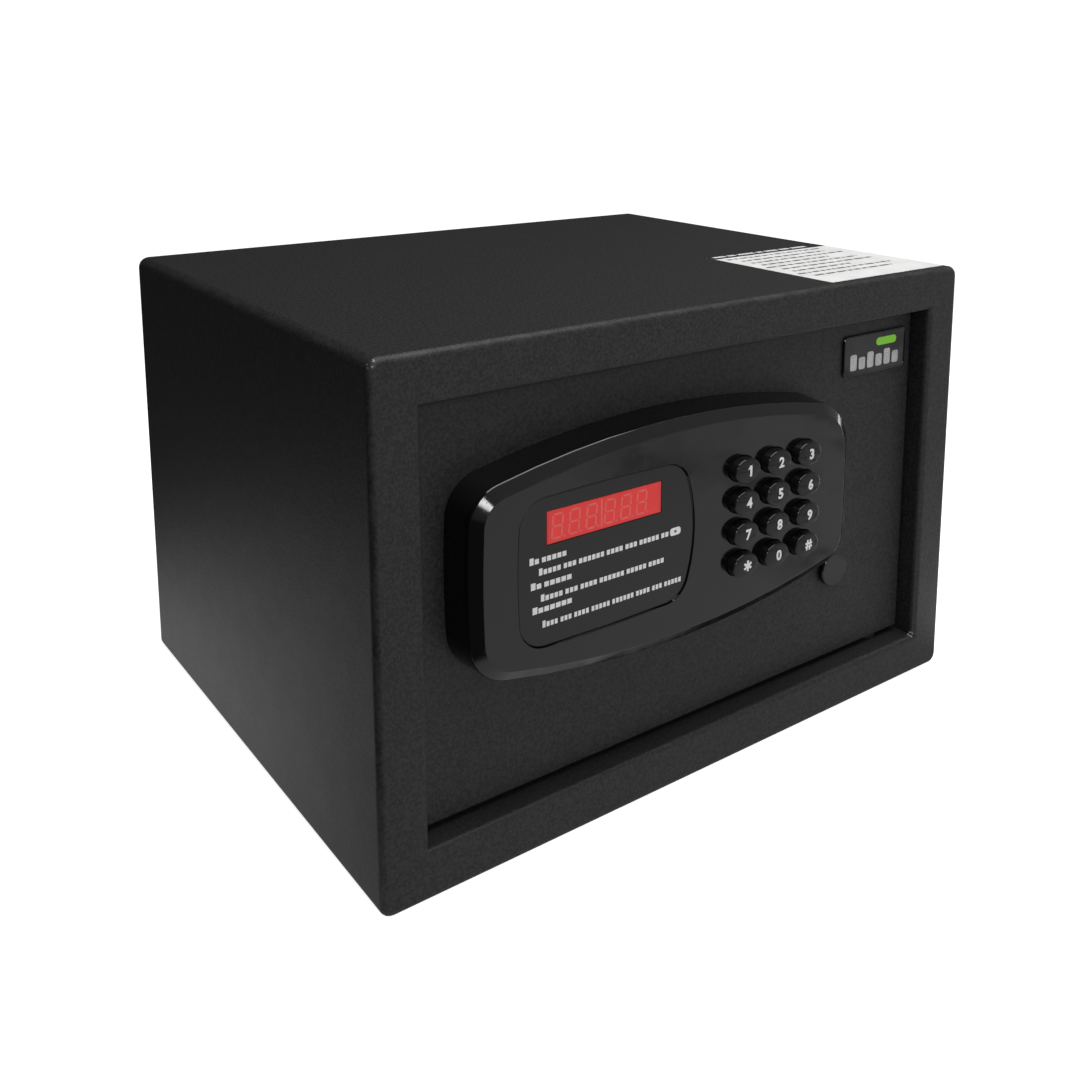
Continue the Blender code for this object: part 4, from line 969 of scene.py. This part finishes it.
def make_floor():
    """A pale sheet that looks evenly white.

    What it throws on the object falls off away from it. At the right it has a glare and some darker
    patches, which the object's glossy parts mirror.
    """
    bm = bmesh.new()
    bmesh.ops.create_grid(bm, x_segments=1, y_segments=1, size=FLOOR_HALF)
    mesh = bpy.data.meshes.new("floor")
    bm.to_mesh(mesh)
    bm.free()
    s = Shader("pale_floor", (0.9, 0.9, 0.9), 0.6)
    s.set("Emission Color", (1.0, 1.0, 1.0, 1.0))
    s.set("Emission Strength", FLOOR_GLOW)
    x, y, _ = s.axes()
    past_x = s.math("MAXIMUM", s.math("SUBTRACT", s.math("ABSOLUTE", x), SHELL_HIGH.x), 0.0)
    past_y = s.math("MAXIMUM", s.math("SUBTRACT", s.math("ABSOLUTE", y), SHELL_HIGH.y), 0.0)
    away = s.math("MAXIMUM", past_x, past_y)
    left = s.span(x, SHELL_LOW.x + FLOOR_SEAM, SHELL_LOW.x - FLOOR_SEAM)
    near_left = s.span(y, *FLOOR_LEFT_RUN, *FLOOR_NEAR_LEFT)
    reach_left = s.span(y, *FLOOR_LEFT_RUN, *FLOOR_REACH_LEFT)
    near = s.span(left, 0.0, 1.0, FLOOR_NEAR, near_left)
    far = s.span(left, 0.0, 1.0, FLOOR_FAR, FLOOR_FAR_LEFT)
    reach = s.span(left, 0.0, 1.0, FLOOR_REACH, reach_left)
    share = s.math("DIVIDE", away, reach, clamp=True)
    bounce = s.add("ShaderNodeEmission")
    fall = s.add("ShaderNodeMapRange", interpolation_type="SMOOTHSTEP")
    for socket, value in zip(fall.inputs, (share, 0.0, 1.0, near, far)):
        s.fill(socket, value)
    glare = s.math("MULTIPLY", s.span(x, *FLOOR_GLARE_X), s.span(y, *FLOOR_GLARE_Y))
    bright = s.math("ADD", fall.outputs[0], s.math("MULTIPLY", glare, FLOOR_GLARE))
    blotches = s.span(s.noise(FLOOR_PATCH_SIZE, detail=2.0), *FLOOR_PATCH_EDGE)
    patches = s.math("MULTIPLY", blotches, s.span(x, *FLOOR_PATCH_X))
    dimmed = s.math("SUBTRACT", 1.0, s.math("MULTIPLY", patches, FLOOR_PATCHES))
    s.fill(bounce.inputs["Strength"], s.math("MULTIPLY", bright, dimmed))
    seen = s.add("ShaderNodeLightPath").outputs["Is Camera Ray"]
    both = s.add("ShaderNodeMixShader")
    s.fill(both.inputs["Fac"], seen)
    s.tree.links.new(bounce.outputs[0], both.inputs[1])
    s.tree.links.new(s.surface.outputs[0], both.inputs[2])
    s.tree.links.new(both.outputs[0], s.tree.nodes["Material Output"].inputs["Surface"])
    mesh.materials.append(s.material)
    floor = bpy.data.objects.new("floor", mesh)
    bpy.context.scene.collection.objects.link(floor)


def make_world():
    """A white backdrop to look at. It lights the object dimly, and least from the left and from behind."""
    world = bpy.data.worlds.new("studio")
    bpy.context.scene.world = world
    world.use_nodes = True
    tree = world.node_tree
    background = tree.nodes["Background"]
    place = tree.nodes.new("ShaderNodeTexCoord")
    axes = tree.nodes.new("ShaderNodeSeparateXYZ")
    tree.links.new(place.outputs["Generated"], axes.inputs[0])
    turned = tree.nodes.new("ShaderNodeMath")
    turned.operation = "SUBTRACT"
    tree.links.new(axes.outputs[0], turned.inputs[0])
    tree.links.new(axes.outputs[1], turned.inputs[1])
    side = tree.nodes.new("ShaderNodeMapRange")
    side.interpolation_type = "SMOOTHSTEP"
    for socket, value in zip(side.inputs, (None, -0.4, 1.2, WORLD_DARK, WORLD_BRIGHT)):
        if value is not None:
            socket.default_value = value
    tree.links.new(turned.outputs[0], side.inputs[0])
    seen = tree.nodes.new("ShaderNodeLightPath")
    strength = tree.nodes.new("ShaderNodeMapRange")
    tree.links.new(seen.outputs["Is Camera Ray"], strength.inputs["Value"])
    tree.links.new(side.outputs[0], strength.inputs["To Min"])
    strength.inputs["To Max"].default_value = BACKDROP
    tree.links.new(strength.outputs[0], background.inputs["Strength"])
    background.inputs["Color"].default_value = (1.0, 1.0, 1.0, 1.0)


CAMERA_LENS = 39.182
CAMERA_SHIFT = (-0.057, -0.256)
CAMERA_PLACE = (-0.3592, -0.522, 0.336)
CAMERA_YAW, CAMERA_TILT, CAMERA_ROLL = -37.33, 80.42, 0.33
FLOOR_HALF = 6.0
FLOOR_GLOW = 0.88
FLOOR_NEAR, FLOOR_FAR, FLOOR_REACH = 0.5, 0.64, 0.14
FLOOR_NEAR_LEFT, FLOOR_FAR_LEFT, FLOOR_REACH_LEFT = (0.4, 1.0), 0.04, (0.08, 0.25)
FLOOR_SEAM = 0.02  # half the width over which the floor at the left takes over
FLOOR_LEFT_RUN = (-0.2, 0.1)  # from the front to the back of the floor at the left
FLOOR_GLARE = 4.5
FLOOR_GLARE_X, FLOOR_GLARE_Y = (0.19, 0.22), (-0.18, -0.15)  # where the glare sets in
FLOOR_PATCH_SIZE, FLOOR_PATCH_EDGE, FLOOR_PATCH_X = 0.08, (0.52, 0.57), (0.16, 0.24)
FLOOR_PATCHES = 0.5  # how much darker the patches are that the glossy panel mirrors
WORLD_DARK, WORLD_BRIGHT = 0.04, 0.36
BACKDROP = 1.05
SOFTBOX_ABOVE = {"place": (0.1, -0.4, 1.5), "target": (0, 0, 0.1), "size": (1.2, 1.2), "power": 19.0}
SMALL_SOFTBOX = {"place": (-0.56, -1.5, 0.84), "target": (0, -0.1, 0.1), "size": (0.3, 0.3), "power": 5.0}

bpy.context.scene.view_settings.view_transform = "Standard"
make_camera()
make_floor()
make_world()
make_light("softbox_above", **SOFTBOX_ABOVE)
make_light("small_softbox_in_front", **SMALL_SOFTBOX)


# ---------------------------------------------------------------- the pieces

for node, edge in FINISHED.items():
    smoothed(node, NODES[node].data.materials[0], edge * MM)
for label, sign in KEY_SIGNS.items():
    make_key(label, sign)
make_digits()
make_window_print()
make_nameplate()
make_label()
make_floor_mat()
make_battery_contacts()
